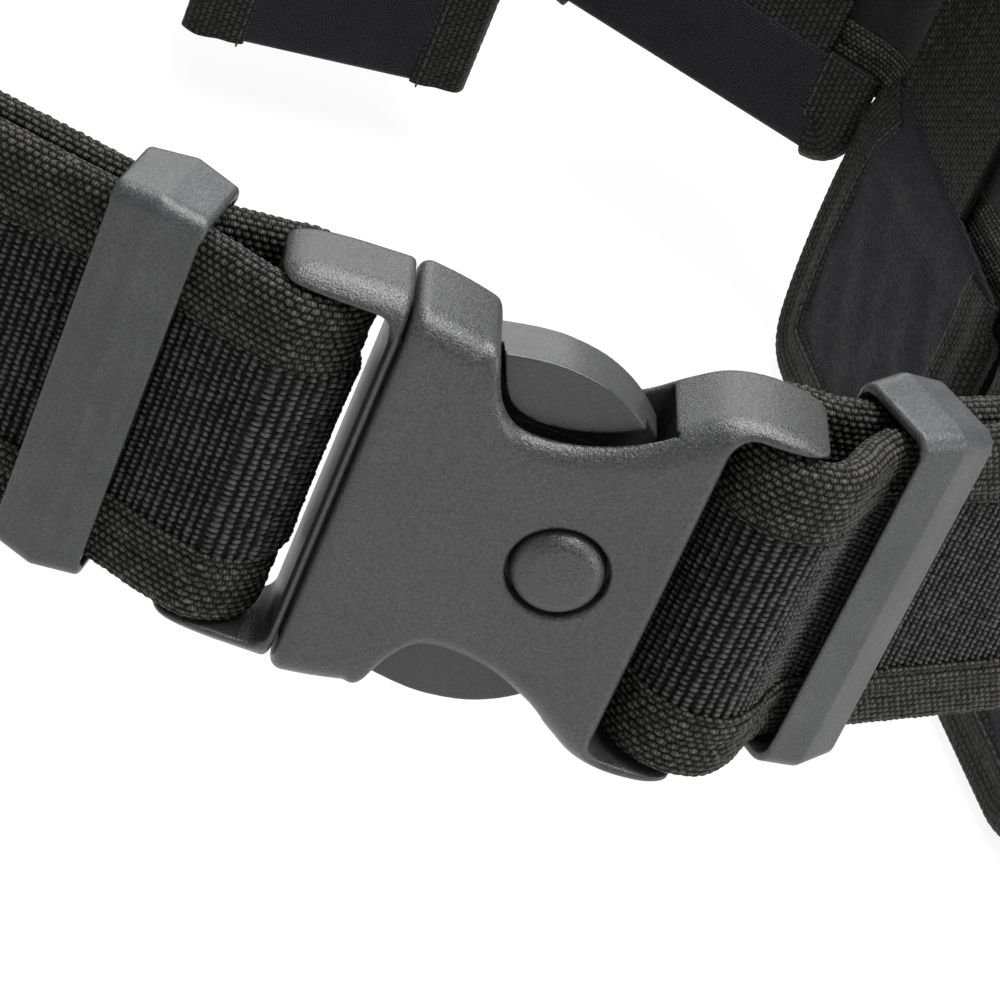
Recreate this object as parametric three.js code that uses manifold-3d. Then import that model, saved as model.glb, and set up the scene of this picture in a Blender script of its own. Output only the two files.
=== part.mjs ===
// A utility belt: a stiff webbing belt closed into a loop by a three-point release buckle, with two
// keepers that hold its folded ends, and five pouches threaded on it.
//
// Millimetres, +Z up. Pieces are placed in the buckle's frame: x runs along the belt past the buckle,
// -y is the side that faces away from the wearer, and the origin is the middle of the round button.
// At the end the whole group is moved so that its footprint is centred and it stands on z = 0.
import * as THREE from 'three';
import { mergeVertices } from 'three/addons/utils/BufferGeometryUtils.js';
import Module from 'manifold-3d';

const wasm = await Module();
wasm.setup();

// ---------------------------------------------------------------- driving dimensions

const belt = {
  halfWidth: 26.5, // half the height of the webbing, edge tape included
  coreHalfHeight: 24.5,
  coreHalf: 0.65, // half the thickness of the stiffener
  skinIn: 0.95, // the skins lie from here
  skinOut: 1.75, // to here on both sides of the stiffener
  tapeIn: 2.05,
  tapeOut: 2.5,
  tapeReach: 11, // how far the edge tape comes over the face
  splitY: 88, // the strap on the plug's side ends here
  freeStart: 8, // beyond the right keeper, where another pouch can be threaded on
};
const gap = 0.3;
const tailDistance = 6.4; // between the belt's middle plane and its folded end's

const rightLine = { x: 45.5, y: 14.2, angle: 33.5 }; // straight belt beyond the right keeper
const leftLine = { x: -64, y: 3.45, angle: -18 }; // straight belt beyond the left keeper
const corners = {
  frontRight: { x: 123.8, y: 66.0, r: 25 },
  backRight: { x: 78.9, y: 245.4, r: 15 },
  back: { x: 19.4, y: 280.8, r: 20 },
  backLeft: { x: -145, y: 237.6, r: 45 },
};
const leftSideX = -145;
const frontLeftRadius = 30;

const buckle = {
  halfThickness: 8.8,
  halfHeight: 31,
  mouthX: -31.4,
  cavityHalf: 6.4, // half the depth of the space for the plug
  cavityHalfHeight: 25,
  cavityEndX: 8.5,
  hornEndX: 28.6,
  webSlotX: 14.7,
  webSlotHalfHeight: 27,
  webSlotCorner: 1.6,
  buttonHoleRadius: 7.2,
};
const socketBar = { x: 24, y: 4, radius: 3 };
const socketFold = { x: 26.3, y: 4, rx: 8.5, ry: 9.5 };
const plug = { halfThickness: 7.8, rightX: -31.8, slotX: -33.5, slotHalfHeight: 27, hornEndX: -49.5 };
const plugBar = { x: -45.5, y: 3.3, radius: 3.5 };
const plugFoldRadius = 7.6;
const prong = { rootX: -24.7, innerZ: 16.5, neckZ: 21, halfThickness: 4.5, endX: 6.5 };
const tongue = { rootX: -24.7, endX: 8, halfHeight: 7.5, frontY: -5.8, backY: -2.7 };
const button = { radius: 6.5, faceY: -8.8, dome: 0.6 };

const keeper = { length: 13.6, height: 61.4, depth: 17.4, ridge: 1, holeHeight: 56.2, holeDepth: 14.4 };
const keeperLeft = { x: -64.72, y: 6.73, angle: -14 };
const keeperRight = { x: 44.05, y: 15.76, angle: 33.5 };

const loop = { half: 5.2, holeHalf: 3.1, top: 29.4, holeTop: 27.4, holeBottom: -28 };
const pouch = { back: 5.6, wall: 2.2, floor: 3, top: 29.7, corner: 7 };
const flap = { under: 30.3, thickness: 2.4, clearance: 2 };
const snap = { capRadius: 6.5, capHeight: 2.4, studRadius: 5, studHeight: 1.4 };

// Each pouch: a point on the belt's middle line and the belt's heading there, then lengths along the
// belt from that point, and heights.
const pouches = [
  {
    name: 'key_pouch', x: 5, y: 277, heading: 194.7,
    loop: [8, 62], panel: [5, 65], body: [7, 63], depth: 28, bottom: -70, cover: [7, 63], drop: 32,
  },
  {
    name: 'wide_pouch', x: 78, y: 246, heading: 149.3,
    loop: [12, 56], panel: [1.4, 78.4], body: [13, 73], depth: 33, bottom: -47, cover: [13, 73], drop: 30,
  },
  {
    name: 'tool_holster', x: 114.85, y: 101.2, heading: 104.04,
    loop: [92, 136], panel: [66, 144], body: [72, 138], depth: 30, bottom: -86, cover: [92, 118], drop: 42,
  },
  {
    name: 'side_pouch', x: 114.85, y: 101.2, heading: 104.04,
    loop: [-2, 42], panel: [-22, 58], body: [-17, 53], depth: 32, bottom: -86, cover: [-17, 53], drop: 36,
  },
  {
    name: 'tall_pouch', x: leftSideX, y: 148, heading: 270,
    loop: [-24, 24], panel: [-40, 40], body: [-36, 36], depth: 36, bottom: -86, cover: [-36, 36], drop: 38,
  },
];

// ---------------------------------------------------------------- materials

function finish(color, roughness, metalness = 0) {
  return new THREE.MeshStandardMaterial({ color, roughness, metalness });
}

const buckleFinish = () => finish(0x2b2c2d, 0.55);
const keeperFinish = () => finish(0x343637, 0.4);
const webbing = () => finish(0x1c1c1b, 0.95);
const tape = () => finish(0x20201d, 0.95);
const lining = () => finish(0x252523, 1);
const cloth = () => finish(0x26262c, 0.9);
const board = () => finish(0x18181a, 0.8);
const snapMetal = () => finish(0x151515, 0.35, 0.6);

// ---------------------------------------------------------------- solids

const group = new THREE.Group();

function radians(degrees) {
  return THREE.MathUtils.degToRad(degrees);
}

function toSolid(geometry) {
  const bare = geometry.clone();
  bare.deleteAttribute('normal');
  bare.deleteAttribute('uv');
  const merged = mergeVertices(bare, 1e-4);
  return new wasm.Manifold(new wasm.Mesh({
    numProp: 3,
    vertProperties: new Float32Array(merged.attributes.position.array),
    triVerts: new Uint32Array(merged.index.array),
  }));
}

function toGeometry(solid) {
  const mesh = solid.getMesh();
  const geometry = new THREE.BufferGeometry();
  geometry.setAttribute('position', new THREE.BufferAttribute(mesh.vertProperties, 3));
  geometry.setIndex(new THREE.BufferAttribute(mesh.triVerts, 1));
  geometry.computeVertexNormals();
  return geometry;
}

function join(...geometries) {
  return toGeometry(geometries.map(toSolid).reduce((all, next) => all.add(next)));
}

function cut(geometry, ...tools) {
  return toGeometry(tools.map(toSolid).reduce((left, tool) => left.subtract(tool), toSolid(geometry)));
}

const axisX = new THREE.Vector3(1, 0, 0);
const axisY = new THREE.Vector3(0, 1, 0);
const axisZ = new THREE.Vector3(0, 0, 1);

// An extrusion with its end faces at start and end, bevels included.
function extrude(shape, start, end, bevel, curveSegments) {
  const { width = 0, height = 0, steps = 0 } = bevel;
  const geometry = new THREE.ExtrudeGeometry(shape, {
    depth: end - start - 2 * height,
    bevelEnabled: height > 0,
    bevelThickness: height,
    bevelSize: width,
    bevelOffset: -width,
    bevelSegments: steps,
    curveSegments,
  });
  return geometry.translate(0, 0, start + height);
}

// The outline's x and y are the object's y and z, and it runs along x.
function alongX(shape, start, end, bevel = {}, curveSegments = 4) {
  const turn = new THREE.Matrix4().makeBasis(axisY, axisZ, axisX);
  return extrude(shape, start, end, bevel, curveSegments).applyMatrix4(turn);
}

// The outline's x and y are the object's x and z, and it runs along y.
function alongY(shape, start, end, bevel = {}, curveSegments = 4) {
  const turn = new THREE.Matrix4().makeBasis(axisX, axisZ, axisY.clone().negate());
  return extrude(shape, -end, -start, bevel, curveSegments).applyMatrix4(turn);
}

function alongZ(shape, start, end, bevel = {}, curveSegments = 4) {
  return extrude(shape, start, end, bevel, curveSegments);
}

function polygon(points) {
  return new THREE.Shape(points.map(([x, y]) => new THREE.Vector2(x, y)));
}

function roundedRectangle(x0, y0, x1, y1, radius) {
  const shape = new THREE.Shape();
  shape.moveTo(x0 + radius, y0);
  shape.lineTo(x1 - radius, y0);
  shape.absarc(x1 - radius, y0 + radius, radius, -Math.PI / 2, 0, false);
  shape.lineTo(x1, y1 - radius);
  shape.absarc(x1 - radius, y1 - radius, radius, 0, Math.PI / 2, false);
  shape.lineTo(x0 + radius, y1);
  shape.absarc(x0 + radius, y1 - radius, radius, Math.PI / 2, Math.PI, false);
  shape.lineTo(x0, y0 + radius);
  shape.absarc(x0 + radius, y0 + radius, radius, Math.PI, Math.PI * 1.5, false);
  return shape;
}

function cylinderAlongY(radius, x, z, start, end, segments = 24) {
  const geometry = new THREE.CylinderGeometry(radius, radius, end - start, segments);
  return geometry.translate(x, (start + end) / 2, z);
}

function cylinderAlongZ(radius, x, y, start, end, segments = 16) {
  const geometry = new THREE.CylinderGeometry(radius, radius, end - start, segments);
  return geometry.rotateX(Math.PI / 2).translate(x, y, (start + end) / 2);
}

function box(x0, x1, y0, y1, z0, z1) {
  const geometry = new THREE.BoxGeometry(x1 - x0, y1 - y0, z1 - z0);
  return geometry.translate((x0 + x1) / 2, (y0 + y1) / 2, (z0 + z1) / 2);
}

function add(name, geometry, material, parent = group) {
  const mesh = new THREE.Mesh(geometry, material);
  mesh.name = name;
  parent.add(mesh);
}

// ---------------------------------------------------------------- the belt's route, seen from above

function onLine(line, along, inward = 0) {
  const angle = radians(line.angle);
  const x = line.x + along * Math.cos(angle) - inward * Math.sin(angle);
  const y = line.y + along * Math.sin(angle) + inward * Math.cos(angle);
  return new THREE.Vector2(x, y);
}

// The route's points, without the doubled ones where two stretches meet.
function routePoints(path) {
  const routeSteps = 3;
  const shortest = 0.2;
  const isApart = (point, i, all) => i === 0 || point.distanceTo(all[i - 1]) > shortest;
  return path.getPoints(routeSteps).filter(isApart);
}

// Adds a straight run up to a rounded corner, and the corner.
function turnAt(path, corner, next) {
  const here = new THREE.Vector2(corner.x, corner.y);
  const arriving = here.clone().sub(path.currentPoint).normalize();
  const leaving = new THREE.Vector2(next.x, next.y).sub(here).normalize();
  const turn = Math.atan2(arriving.cross(leaving), arriving.dot(leaving));
  const reach = corner.r * Math.tan(turn / 2);
  const start = here.clone().addScaledVector(arriving, -reach);
  const centre = start.clone().add(new THREE.Vector2(-arriving.y, arriving.x).multiplyScalar(corner.r));
  const from = Math.atan2(start.y - centre.y, start.x - centre.x);
  path.lineTo(start.x, start.y);
  path.absarc(centre.x, centre.y, corner.r, from, from + turn, false);
}

// From the folded end inside the right keeper, round the socket's bar, and round the wearer's back.
function beltRoute() {
  const path = new THREE.Path();
  const tailEnd = onLine(rightLine, 32, tailDistance);
  const tailStart = onLine(rightLine, -7, tailDistance);
  const straight = onLine(rightLine, -7);
  const slightBow = -0.05;
  const freeStretch = onLine(rightLine, belt.freeStart, slightBow);
  path.moveTo(tailEnd.x, tailEnd.y);
  path.lineTo(tailStart.x, tailStart.y);
  path.splineThru([
    new THREE.Vector2(31.2, 13.8),
    new THREE.Vector2(socketFold.x, socketFold.y + socketFold.ry),
  ]);
  path.absellipse(
    socketFold.x, socketFold.y, socketFold.rx, socketFold.ry, Math.PI / 2, Math.PI * 1.5, false,
  );
  path.splineThru([
    new THREE.Vector2(30.4, -4.3),
    new THREE.Vector2(33.7, -0.4),
    new THREE.Vector2(36.6, 5.6),
    straight,
  ]);
  path.lineTo(freeStretch.x, freeStretch.y);
  turnAt(path, corners.frontRight, corners.backRight);
  turnAt(path, corners.backRight, corners.back);
  turnAt(path, corners.back, corners.backLeft);
  turnAt(path, corners.backLeft, { x: leftSideX, y: 0 });
  path.lineTo(leftSideX, belt.splitY + gap / 2);
  return routePoints(path);
}

// From the left side to the left keeper, round the plug's bar, and back inside the keeper.
function strapRoute() {
  const path = new THREE.Path();
  const slope = Math.tan(radians(leftLine.angle));
  const corner = { x: leftSideX, y: leftLine.y + (leftSideX - leftLine.x) * slope, r: frontLeftRadius };
  const straight = onLine(leftLine, 2);
  const tailStart = onLine(leftLine, 2, tailDistance);
  const tailEnd = onLine(leftLine, -42, tailDistance);
  path.moveTo(leftSideX, belt.splitY - gap / 2);
  turnAt(path, corner, leftLine);
  path.lineTo(straight.x, straight.y);
  path.splineThru([
    new THREE.Vector2(-57.3, 0.9),
    new THREE.Vector2(-52, -2.1),
    new THREE.Vector2(plugBar.x, plugBar.y - plugFoldRadius),
  ]);
  path.absarc(plugBar.x, plugBar.y, plugFoldRadius, -Math.PI / 2, Math.PI / 2, false);
  path.splineThru([new THREE.Vector2(-52, 10.2), tailStart]);
  path.lineTo(tailEnd.x, tailEnd.y);
  return routePoints(path);
}

// The outline between two distances from the route, counted outward.
function ribbon(route, inner, outer) {
  const side = (distance) => route.map((point, i) => {
    const before = route[Math.max(i - 1, 0)];
    const after = route[Math.min(i + 1, route.length - 1)];
    const a = point.clone().sub(before).normalize();
    const b = after.clone().sub(point).normalize();
    const along = a.clone().add(b).normalize();
    const stretch = 1 / Math.max(along.dot(i > 0 ? a : b), 0.5);
    return [point.x + along.y * distance * stretch, point.y - along.x * distance * stretch];
  });
  return polygon([...side(outer), ...side(inner).reverse()]);
}

function webbingPieces(prefix, route) {
  const { coreHalf, coreHalfHeight, skinIn, skinOut, tapeIn, tapeOut, halfWidth, tapeReach } = belt;
  const skin = (inner, outer) => alongZ(ribbon(route, inner, outer), -coreHalfHeight, coreHalfHeight);
  add(`${prefix}_core`, skin(-coreHalf, coreHalf), board());
  add(`${prefix}_cover`, skin(skinIn, skinOut), webbing());
  add(`${prefix}_lining`, skin(-skinOut, -skinIn), lining());
  const slotEnd = coreHalfHeight + gap;
  const long = route.map((point) => point.clone());
  const first = long[0].clone().sub(long[1]).normalize();
  const last = long.at(-1).clone().sub(long.at(-2)).normalize();
  long[0].addScaledVector(first, 1);
  long.at(-1).addScaledVector(last, 1);
  const top = cut(
    alongZ(ribbon(route, -tapeOut, tapeOut), halfWidth - tapeReach, halfWidth),
    alongZ(ribbon(long, -tapeIn, tapeIn), halfWidth - tapeReach - 1, slotEnd),
  );
  const bottom = cut(
    alongZ(ribbon(route, -tapeOut, tapeOut), -halfWidth, tapeReach - halfWidth),
    alongZ(ribbon(long, -tapeIn, tapeIn), -slotEnd, tapeReach + 1 - halfWidth),
  );
  add(`${prefix}_top_tape`, top, tape());
  add(`${prefix}_bottom_tape`, bottom, tape());
}

// The hook strip that holds a folded end against the belt, in the middle between the edge tapes.
function hookStrip(name, line, start, end) {
  const halfHeight = 14;
  const inner = belt.skinOut + gap;
  const outer = tailDistance - belt.skinOut - gap;
  const holder = new THREE.Group();
  holder.position.set(line.x, line.y, 0);
  holder.rotation.z = radians(line.angle);
  add(name, box(start, end, inner, outer, -halfHeight, halfHeight), board(), holder);
  group.add(holder);
}

// ---------------------------------------------------------------- the buckle

// The upper edge of the socket, from its mouth to the end of its upper horn.
function socketOutline() {
  const edge = [
    [-25.5, 30.2], [-20.3, 29], [-19, 28.2], [-18.2, 26.6], [-17, 23.6], [-15.7, 21.2], [-13.6, 19.3],
    [-10, 18.5], [-5, 19], [0, 20.6], [4.3, 23], [8.6, 26.5], [13, 29.4], [18, 30.5], [23, 30.2],
    [26.8, 29],
  ];
  const { mouthX, halfHeight, hornEndX, webSlotHalfHeight } = buckle;
  const top = [[mouthX, halfHeight], ...edge, [hornEndX, webSlotHalfHeight + 0.6]];
  const bottom = top.map(([x, z]) => [x, -z]).reverse();
  return polygon([...bottom, ...top].reverse());
}

function addSocket() {
  const { halfThickness, mouthX, cavityHalf, cavityHalfHeight, cavityEndX, buttonHoleRadius } = buckle;
  const { webSlotX, webSlotHalfHeight, webSlotCorner } = buckle;
  const body = alongY(socketOutline(), -halfThickness, halfThickness, { width: 2, height: 2.4, steps: 3 });
  const webSlot = alongY(
    roundedRectangle(webSlotX, -webSlotHalfHeight, 60, webSlotHalfHeight, webSlotCorner), -20, 20,
  );
  const cavity = box(mouthX - 5, cavityEndX, -cavityHalf, cavityHalf, -cavityHalfHeight, cavityHalfHeight);
  const buttonHole = cylinderAlongY(buttonHoleRadius, 0, 0, -20, 0, 32);
  const bar = cylinderAlongZ(
    socketBar.radius, socketBar.x, socketBar.y, -webSlotHalfHeight - 1, webSlotHalfHeight + 1,
  );
  add('buckle_socket', join(cut(body, webSlot, cavity, buttonHole), bar), buckleFinish());
}

function addPlug() {
  const { halfThickness, rightX, slotX, slotHalfHeight, hornEndX } = plug;
  const outline = polygon([
    [rightX, 31], [-36, 30.8], [-41, 30.2], [-46, 29.2], [hornEndX + 0.8, 28.2], [hornEndX, 27.2],
    [hornEndX, -27.2], [hornEndX + 0.8, -28.2], [-46, -29.2], [-41, -30.2], [-36, -30.8], [rightX, -31],
  ]);
  const frame = alongY(outline, -halfThickness, halfThickness, { width: 1, height: 2, steps: 2 });
  const slot = alongY(roundedRectangle(-80, -slotHalfHeight, slotX, slotHalfHeight, 3), -20, 20);
  const blockHalf = buckle.cavityHalf - 0.4;
  const blockHeight = buckle.cavityHalfHeight - 0.4;
  const block = box(rightX - 1, prong.rootX - gap, -blockHalf, blockHalf, -blockHeight, blockHeight);
  const bar = cylinderAlongZ(plugBar.radius, plugBar.x, plugBar.y, -slotHalfHeight - 1, slotHalfHeight + 1);
  add('buckle_plug', join(cut(frame, slot), block, bar), buckleFinish());
}

// A springy side prong: a neck from the plug's base, and a lens-shaped pad that fills the window.
function addProng(name, side) {
  const { rootX, innerZ, neckZ, halfThickness, endX } = prong;
  const outline = [
    [rootX, innerZ], [endX - 1, innerZ], [endX, innerZ + 1.5], [endX - 0.4, 20.8], [4, 23.3], [1, 25.6],
    [-2.5, 27.3], [-6, 28.2], [-10, 28.6], [-14, 28.1], [-17.4, 26.8], [-16.9, 25], [-16.4, 23.4],
    [-17.2, 21.8], [-19.5, neckZ], [rootX, neckZ],
  ];
  const points = outline.map(([x, z]) => [x, z * side]);
  const shape = polygon(side > 0 ? points : points.reverse());
  const bevel = { width: 0.7, height: 1, steps: 2 };
  add(name, alongY(shape, -halfThickness, halfThickness, bevel), buckleFinish());
}

// The tongue in the middle carries the round button that shows through the socket's face.
function addTongue() {
  const { rootX, endX, halfHeight, frontY, backY } = tongue;
  const leaf = alongY(roundedRectangle(rootX, -halfHeight, endX, halfHeight, 0.8), frontY, backY);
  const profile = [[0, 0], [button.radius, 0]];
  const rise = -button.faceY + frontY + 0.5;
  const steps = 4;
  for (let i = 0; i <= steps; i += 1) {
    const r = button.radius - 0.4 - (button.radius - 0.4) * (i / steps);
    const bulge = button.dome * (1 - (r / button.radius) ** 2);
    profile.push([r, rise + bulge]);
  }
  profile.splice(2, 0, [button.radius, rise - 0.5]);
  const points = profile.map(([r, h]) => new THREE.Vector2(Math.max(r, 0), h));
  const cap = new THREE.LatheGeometry(points, 32).rotateX(Math.PI).translate(0, frontY + 0.5, 0);
  add('centre_button', join(leaf, cap), buckleFinish());
}

// ---------------------------------------------------------------- keepers

// A rectangular slide with a low ridge round the middle of its band.
function addKeeper(name, place) {
  const { length, height, depth, ridge, holeHeight, holeDepth } = keeper;
  const outline = roundedRectangle(-depth / 2, -height / 2, depth / 2, height / 2, 2.2);
  const roof = { width: ridge, height: length / 2 - 0.1, steps: 1 };
  const band = alongX(outline, -length / 2, length / 2, roof, 2);
  const hole = alongX(
    roundedRectangle(-holeDepth / 2, -holeHeight / 2, holeDepth / 2, holeHeight / 2, 1), -20, 20, {}, 2,
  );
  const holder = new THREE.Group();
  holder.position.set(place.x, place.y, 0);
  holder.rotation.z = radians(place.angle);
  add(name, cut(band, hole), keeperFinish(), holder);
  group.add(holder);
}

// ---------------------------------------------------------------- pouches

// Local frame: x along the belt, -y outward, z up, with the belt's middle line at y = 0.
function addLoop(spec, holder) {
  const [start, end] = spec.loop;
  const ring = cut(
    box(start, end, -loop.half, loop.half, loop.holeBottom - 2, loop.top),
    box(start - 5, end + 5, -loop.holeHalf, loop.holeHalf, loop.holeBottom, loop.holeTop),
  );
  const [left, right] = spec.panel;
  const panel = alongY(
    roundedRectangle(left, spec.bottom, right, loop.holeBottom - 1, 9), -loop.half, loop.half, {}, 2,
  );
  add(`${spec.name}_loop`, join(ring, panel), cloth(), holder);
}

function addBody(spec, holder) {
  const [start, end] = spec.body;
  const front = -pouch.back - spec.depth;
  const inner = pouch.corner - pouch.wall;
  const outside = alongZ(
    roundedRectangle(start, front, end, -pouch.back, pouch.corner), spec.bottom, pouch.top, {}, 2,
  );
  const inside = alongZ(
    roundedRectangle(
      start + pouch.wall, front + pouch.wall, end - pouch.wall, -pouch.back - pouch.wall, inner,
    ),
    spec.bottom + pouch.floor, pouch.top + 5, {}, 2,
  );
  add(`${spec.name}_body`, cut(outside, inside), cloth(), holder);
}

function addFlap(spec, holder) {
  const [start, end] = spec.cover;
  const front = -pouch.back - spec.depth - flap.clearance;
  const outer = front - flap.thickness;
  const top = flap.under + flap.thickness;
  const low = pouch.top - spec.drop;
  const section = polygon([
    [-pouch.back, flap.under], [-pouch.back, top], [outer + 3, top], [outer + 1, top - 1],
    [outer, top - 3], [outer, low], [front, low], [front, flap.under],
  ]);
  add(`${spec.name}_flap`, alongX(section, start, end), cloth(), holder);
}

// A snap: its cap on the flap, and its stud on the body behind it.
function addSnap(spec, holder) {
  const x = (spec.cover[0] + spec.cover[1]) / 2;
  const z = pouch.top - spec.drop + 12;
  const wall = -pouch.back - spec.depth;
  const face = wall - flap.clearance - flap.thickness - gap;
  const { capRadius, capHeight, studRadius, studHeight } = snap;
  const capProfile = [
    [0, 0], [capRadius, 0], [capRadius, capHeight * 0.4], [capRadius * 0.75, capHeight * 0.85],
    [0, capHeight],
  ];
  const cap = new THREE.LatheGeometry(capProfile.map(([r, h]) => new THREE.Vector2(r, h)), 16);
  add(`${spec.name}_snap_cap`, cap.rotateX(Math.PI).translate(x, face, z), snapMetal(), holder);
  const stud = cylinderAlongY(studRadius, x, z, wall - gap - studHeight, wall - gap, 16);
  add(`${spec.name}_snap_stud`, stud, snapMetal(), holder);
}

function addPouch(spec) {
  const holder = new THREE.Group();
  holder.position.set(spec.x, spec.y, 0);
  holder.rotation.z = radians(spec.heading);
  addLoop(spec, holder);
  addBody(spec, holder);
  addFlap(spec, holder);
  addSnap(spec, holder);
  group.add(holder);
}

// ---------------------------------------------------------------- the object

addSocket();
addPlug();
addProng('upper_prong', 1);
addProng('lower_prong', -1);
addTongue();
webbingPieces('belt', beltRoute());
webbingPieces('strap', strapRoute());
hookStrip('belt_hook_strip', rightLine, 9, 30);
hookStrip('strap_hook_strip', leftLine, -40, -10);
addKeeper('keeper_left', keeperLeft);
addKeeper('keeper_right', keeperRight);
pouches.forEach(addPouch);

const extent = new THREE.Box3().setFromObject(group);
const middle = extent.getCenter(new THREE.Vector3());
group.position.set(-middle.x, -middle.y, -extent.min.z);
group.updateMatrixWorld(true);

export default group;
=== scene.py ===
import math

import bpy
import numpy as np
from mathutils import Matrix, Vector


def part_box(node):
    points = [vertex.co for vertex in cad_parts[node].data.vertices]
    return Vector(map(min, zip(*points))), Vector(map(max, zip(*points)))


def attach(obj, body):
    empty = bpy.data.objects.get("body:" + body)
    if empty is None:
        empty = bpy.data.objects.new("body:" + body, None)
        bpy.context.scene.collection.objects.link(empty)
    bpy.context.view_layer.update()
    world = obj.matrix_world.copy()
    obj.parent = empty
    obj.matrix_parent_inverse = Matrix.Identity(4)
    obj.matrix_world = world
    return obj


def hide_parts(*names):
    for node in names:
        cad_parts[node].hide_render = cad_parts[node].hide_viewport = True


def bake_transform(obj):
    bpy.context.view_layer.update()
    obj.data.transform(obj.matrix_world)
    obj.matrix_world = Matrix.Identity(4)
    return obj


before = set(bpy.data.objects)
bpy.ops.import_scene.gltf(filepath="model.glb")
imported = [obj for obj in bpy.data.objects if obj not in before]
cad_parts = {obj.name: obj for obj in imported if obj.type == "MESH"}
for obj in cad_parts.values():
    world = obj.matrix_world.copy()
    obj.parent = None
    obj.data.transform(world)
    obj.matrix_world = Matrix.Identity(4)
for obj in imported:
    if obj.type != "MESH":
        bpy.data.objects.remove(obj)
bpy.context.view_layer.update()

# The object is a utility belt. Sizes are millimetres in the buckle's frame, as in the CAD source: x runs
# along the belt past the buckle, -y faces away from the wearer, and the origin is the round button.
MM = 0.001
SOCKET_LEFT = -31.4
socket_low, socket_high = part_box("buckle_socket")
origin = np.array([
    socket_low.x - SOCKET_LEFT * MM,
    (socket_low.y + socket_high.y) / 2,
    (socket_low.z + socket_high.z) / 2,
])
RIGHT = np.array([1.0, 0.0, 0.0])
FORWARD = np.array([0.0, -1.0, 0.0])
UP = np.array([0.0, 0.0, 1.0])

CAMERA = {"azimuth": -11.51, "elevation": 30.73, "roll": 24.24, "distance": 483.63, "lens": 127.98}
CAMERA_TARGET = np.array([-9.62, 0.0, 2.97])

# The webbing's section, and its route as seen from above. A line is a point and an angle, for each straight
# run beside the buckle. A corner is (x, y, radius).
BELT = {"half_width": 26.5, "core_half_height": 24.5, "skin": 1.75, "tape_reach": 11.0, "tail": 6.4}
SEAM_Y = 148.0  # where the two webbing pieces meet, under the tall pouch's loop
SEAM_HALF_GAP = 0.15
NEAR = 62.0  # how far along the right run, which the camera is close to, the belt's yarns stand up
RIGHT_LINE = {"x": 45.5, "y": 14.2, "angle": 33.5}
LEFT_LINE = {"x": -64.0, "y": 3.45, "angle": -18.0}
FRONT_RIGHT = (123.8, 66.0, 25.0)
BACK_RIGHT = (78.9, 245.4, 15.0)
BACK = (19.4, 280.8, 20.0)
BACK_LEFT = (-145.0, 237.6, 45.0)
LEFT_SIDE_X = -145.0
FRONT_LEFT_RADIUS = 30.0
SOCKET_FOLD = {"x": 26.3, "y": 4.0, "rx": 8.5, "ry": 9.5}
PLUG_BAR = (-45.5, 3.3)
PLUG_FOLD_RADIUS = 8.2

# The buckle and the keepers. An edge is the radius that it is rounded to.
SOCKET = {"half_depth": 8.8, "front_edge": 4.5, "back_edge": 2.4, "slot_x": 14.7, "slot_half": 28.2,
          "slot_corner": 3.4, "slot_edge": 1.5, "bar_x": 24, "bar_y": 4, "bar_radius": 3}
CAVITY = {"right": 8.5, "half_depth": 6.4, "half_height": 25, "edge": 0.4}
BUTTON = {"hole": 7.15, "radius": 6.5, "front": -9.9, "dome": 0.5, "edge": 2.4, "leaf_half_height": 7.5}
PLUG = {"half_depth": 7.8, "front_edge": 6.2, "back_edge": 2.6, "right": -31.8, "slot_x": -32.8,
        "slot_half": 27.6, "slot_corner": 3.0, "slot_edge": 0.9, "bar_radius": 3.5}
PRONG = {"half_depth": 4.5, "step_back": 3.2, "step_from": 0.6, "step_over": 0.4, "edge": 0.35}
KEEPER = {"length": 13.6, "height": 61.4, "depth": 17.4, "ridge": 1.0, "edge": 2.8, "end_edge": 0.7,
          "hole_height": 56.2, "hole_depth": 14.4, "hole_corner": 2.2, "hole_edge": 0.5}

# The pouches. x, y and heading place each one's own frame: x along the belt, -y away from the wearer, z up.
# loop, panel, body and cover (the flap) run from one x to another, and drop is how far the flap hangs.
POUCH_BACK = 5.6
POUCH_TOP = 29.7
PANEL_TOP = -29.5
POUCHES = [
    {"name": "key_pouch", "x": 5, "y": 277, "heading": 194.7, "loop": (8, 62), "panel": (5, 65),
     "body": (7, 63), "depth": 28, "bottom": -70, "cover": (7, 63), "drop": 32, "host": "key_pouch"},
    {"name": "wide_pouch", "x": 78, "y": 246, "heading": 149.3, "loop": (12, 56), "panel": (1.4, 78.4),
     "body": (13, 73), "depth": 33, "bottom": -47, "cover": (13, 73), "drop": 30, "host": "belt"},
    {"name": "tool_holster", "x": 114.85, "y": 101.2, "heading": 104.04, "loop": (92, 136),
     "panel": (66, 144), "body": (72, 138), "depth": 30, "bottom": -86, "cover": (92, 118), "drop": 42,
     "host": "tool_holster"},
    {"name": "side_pouch", "x": 114.85, "y": 101.2, "heading": 104.04, "loop": (-2, 42),
     "panel": (-21, 55.4), "body": (-17, 53), "depth": 32, "bottom": -86, "cover": (-17, 53), "drop": 36,
     "host": "side_pouch"},
    {"name": "tall_pouch", "x": -145, "y": 148, "heading": 270, "loop": (-24, 24), "panel": (-40, 40),
     "body": (-36, 36), "depth": 36, "bottom": -86, "cover": (-36, 36), "drop": 38,
     "host": "tall_pouch"},
]

# The belt loops' section, and the bound sheets: how thick, how much the middle stands out, how wide the
# binding is, how far in it is stitched, and how fine the mesh is.
LOOP = {"half_depth": 4.15, "low": -29.0, "high": 28.35, "corner": 2.6, "half_thickness": 1.0}
PANEL = {"thickness": 4.6, "crown": 0.7, "binding": 11.5, "seam": 9.9, "step": 1.5}
FLAP = {"thickness": 2.4, "crown": 0.8, "binding": 8.5, "seam": 7.0, "step": 1.2}


# ---------------------------------------------------------------- pieces

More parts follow.
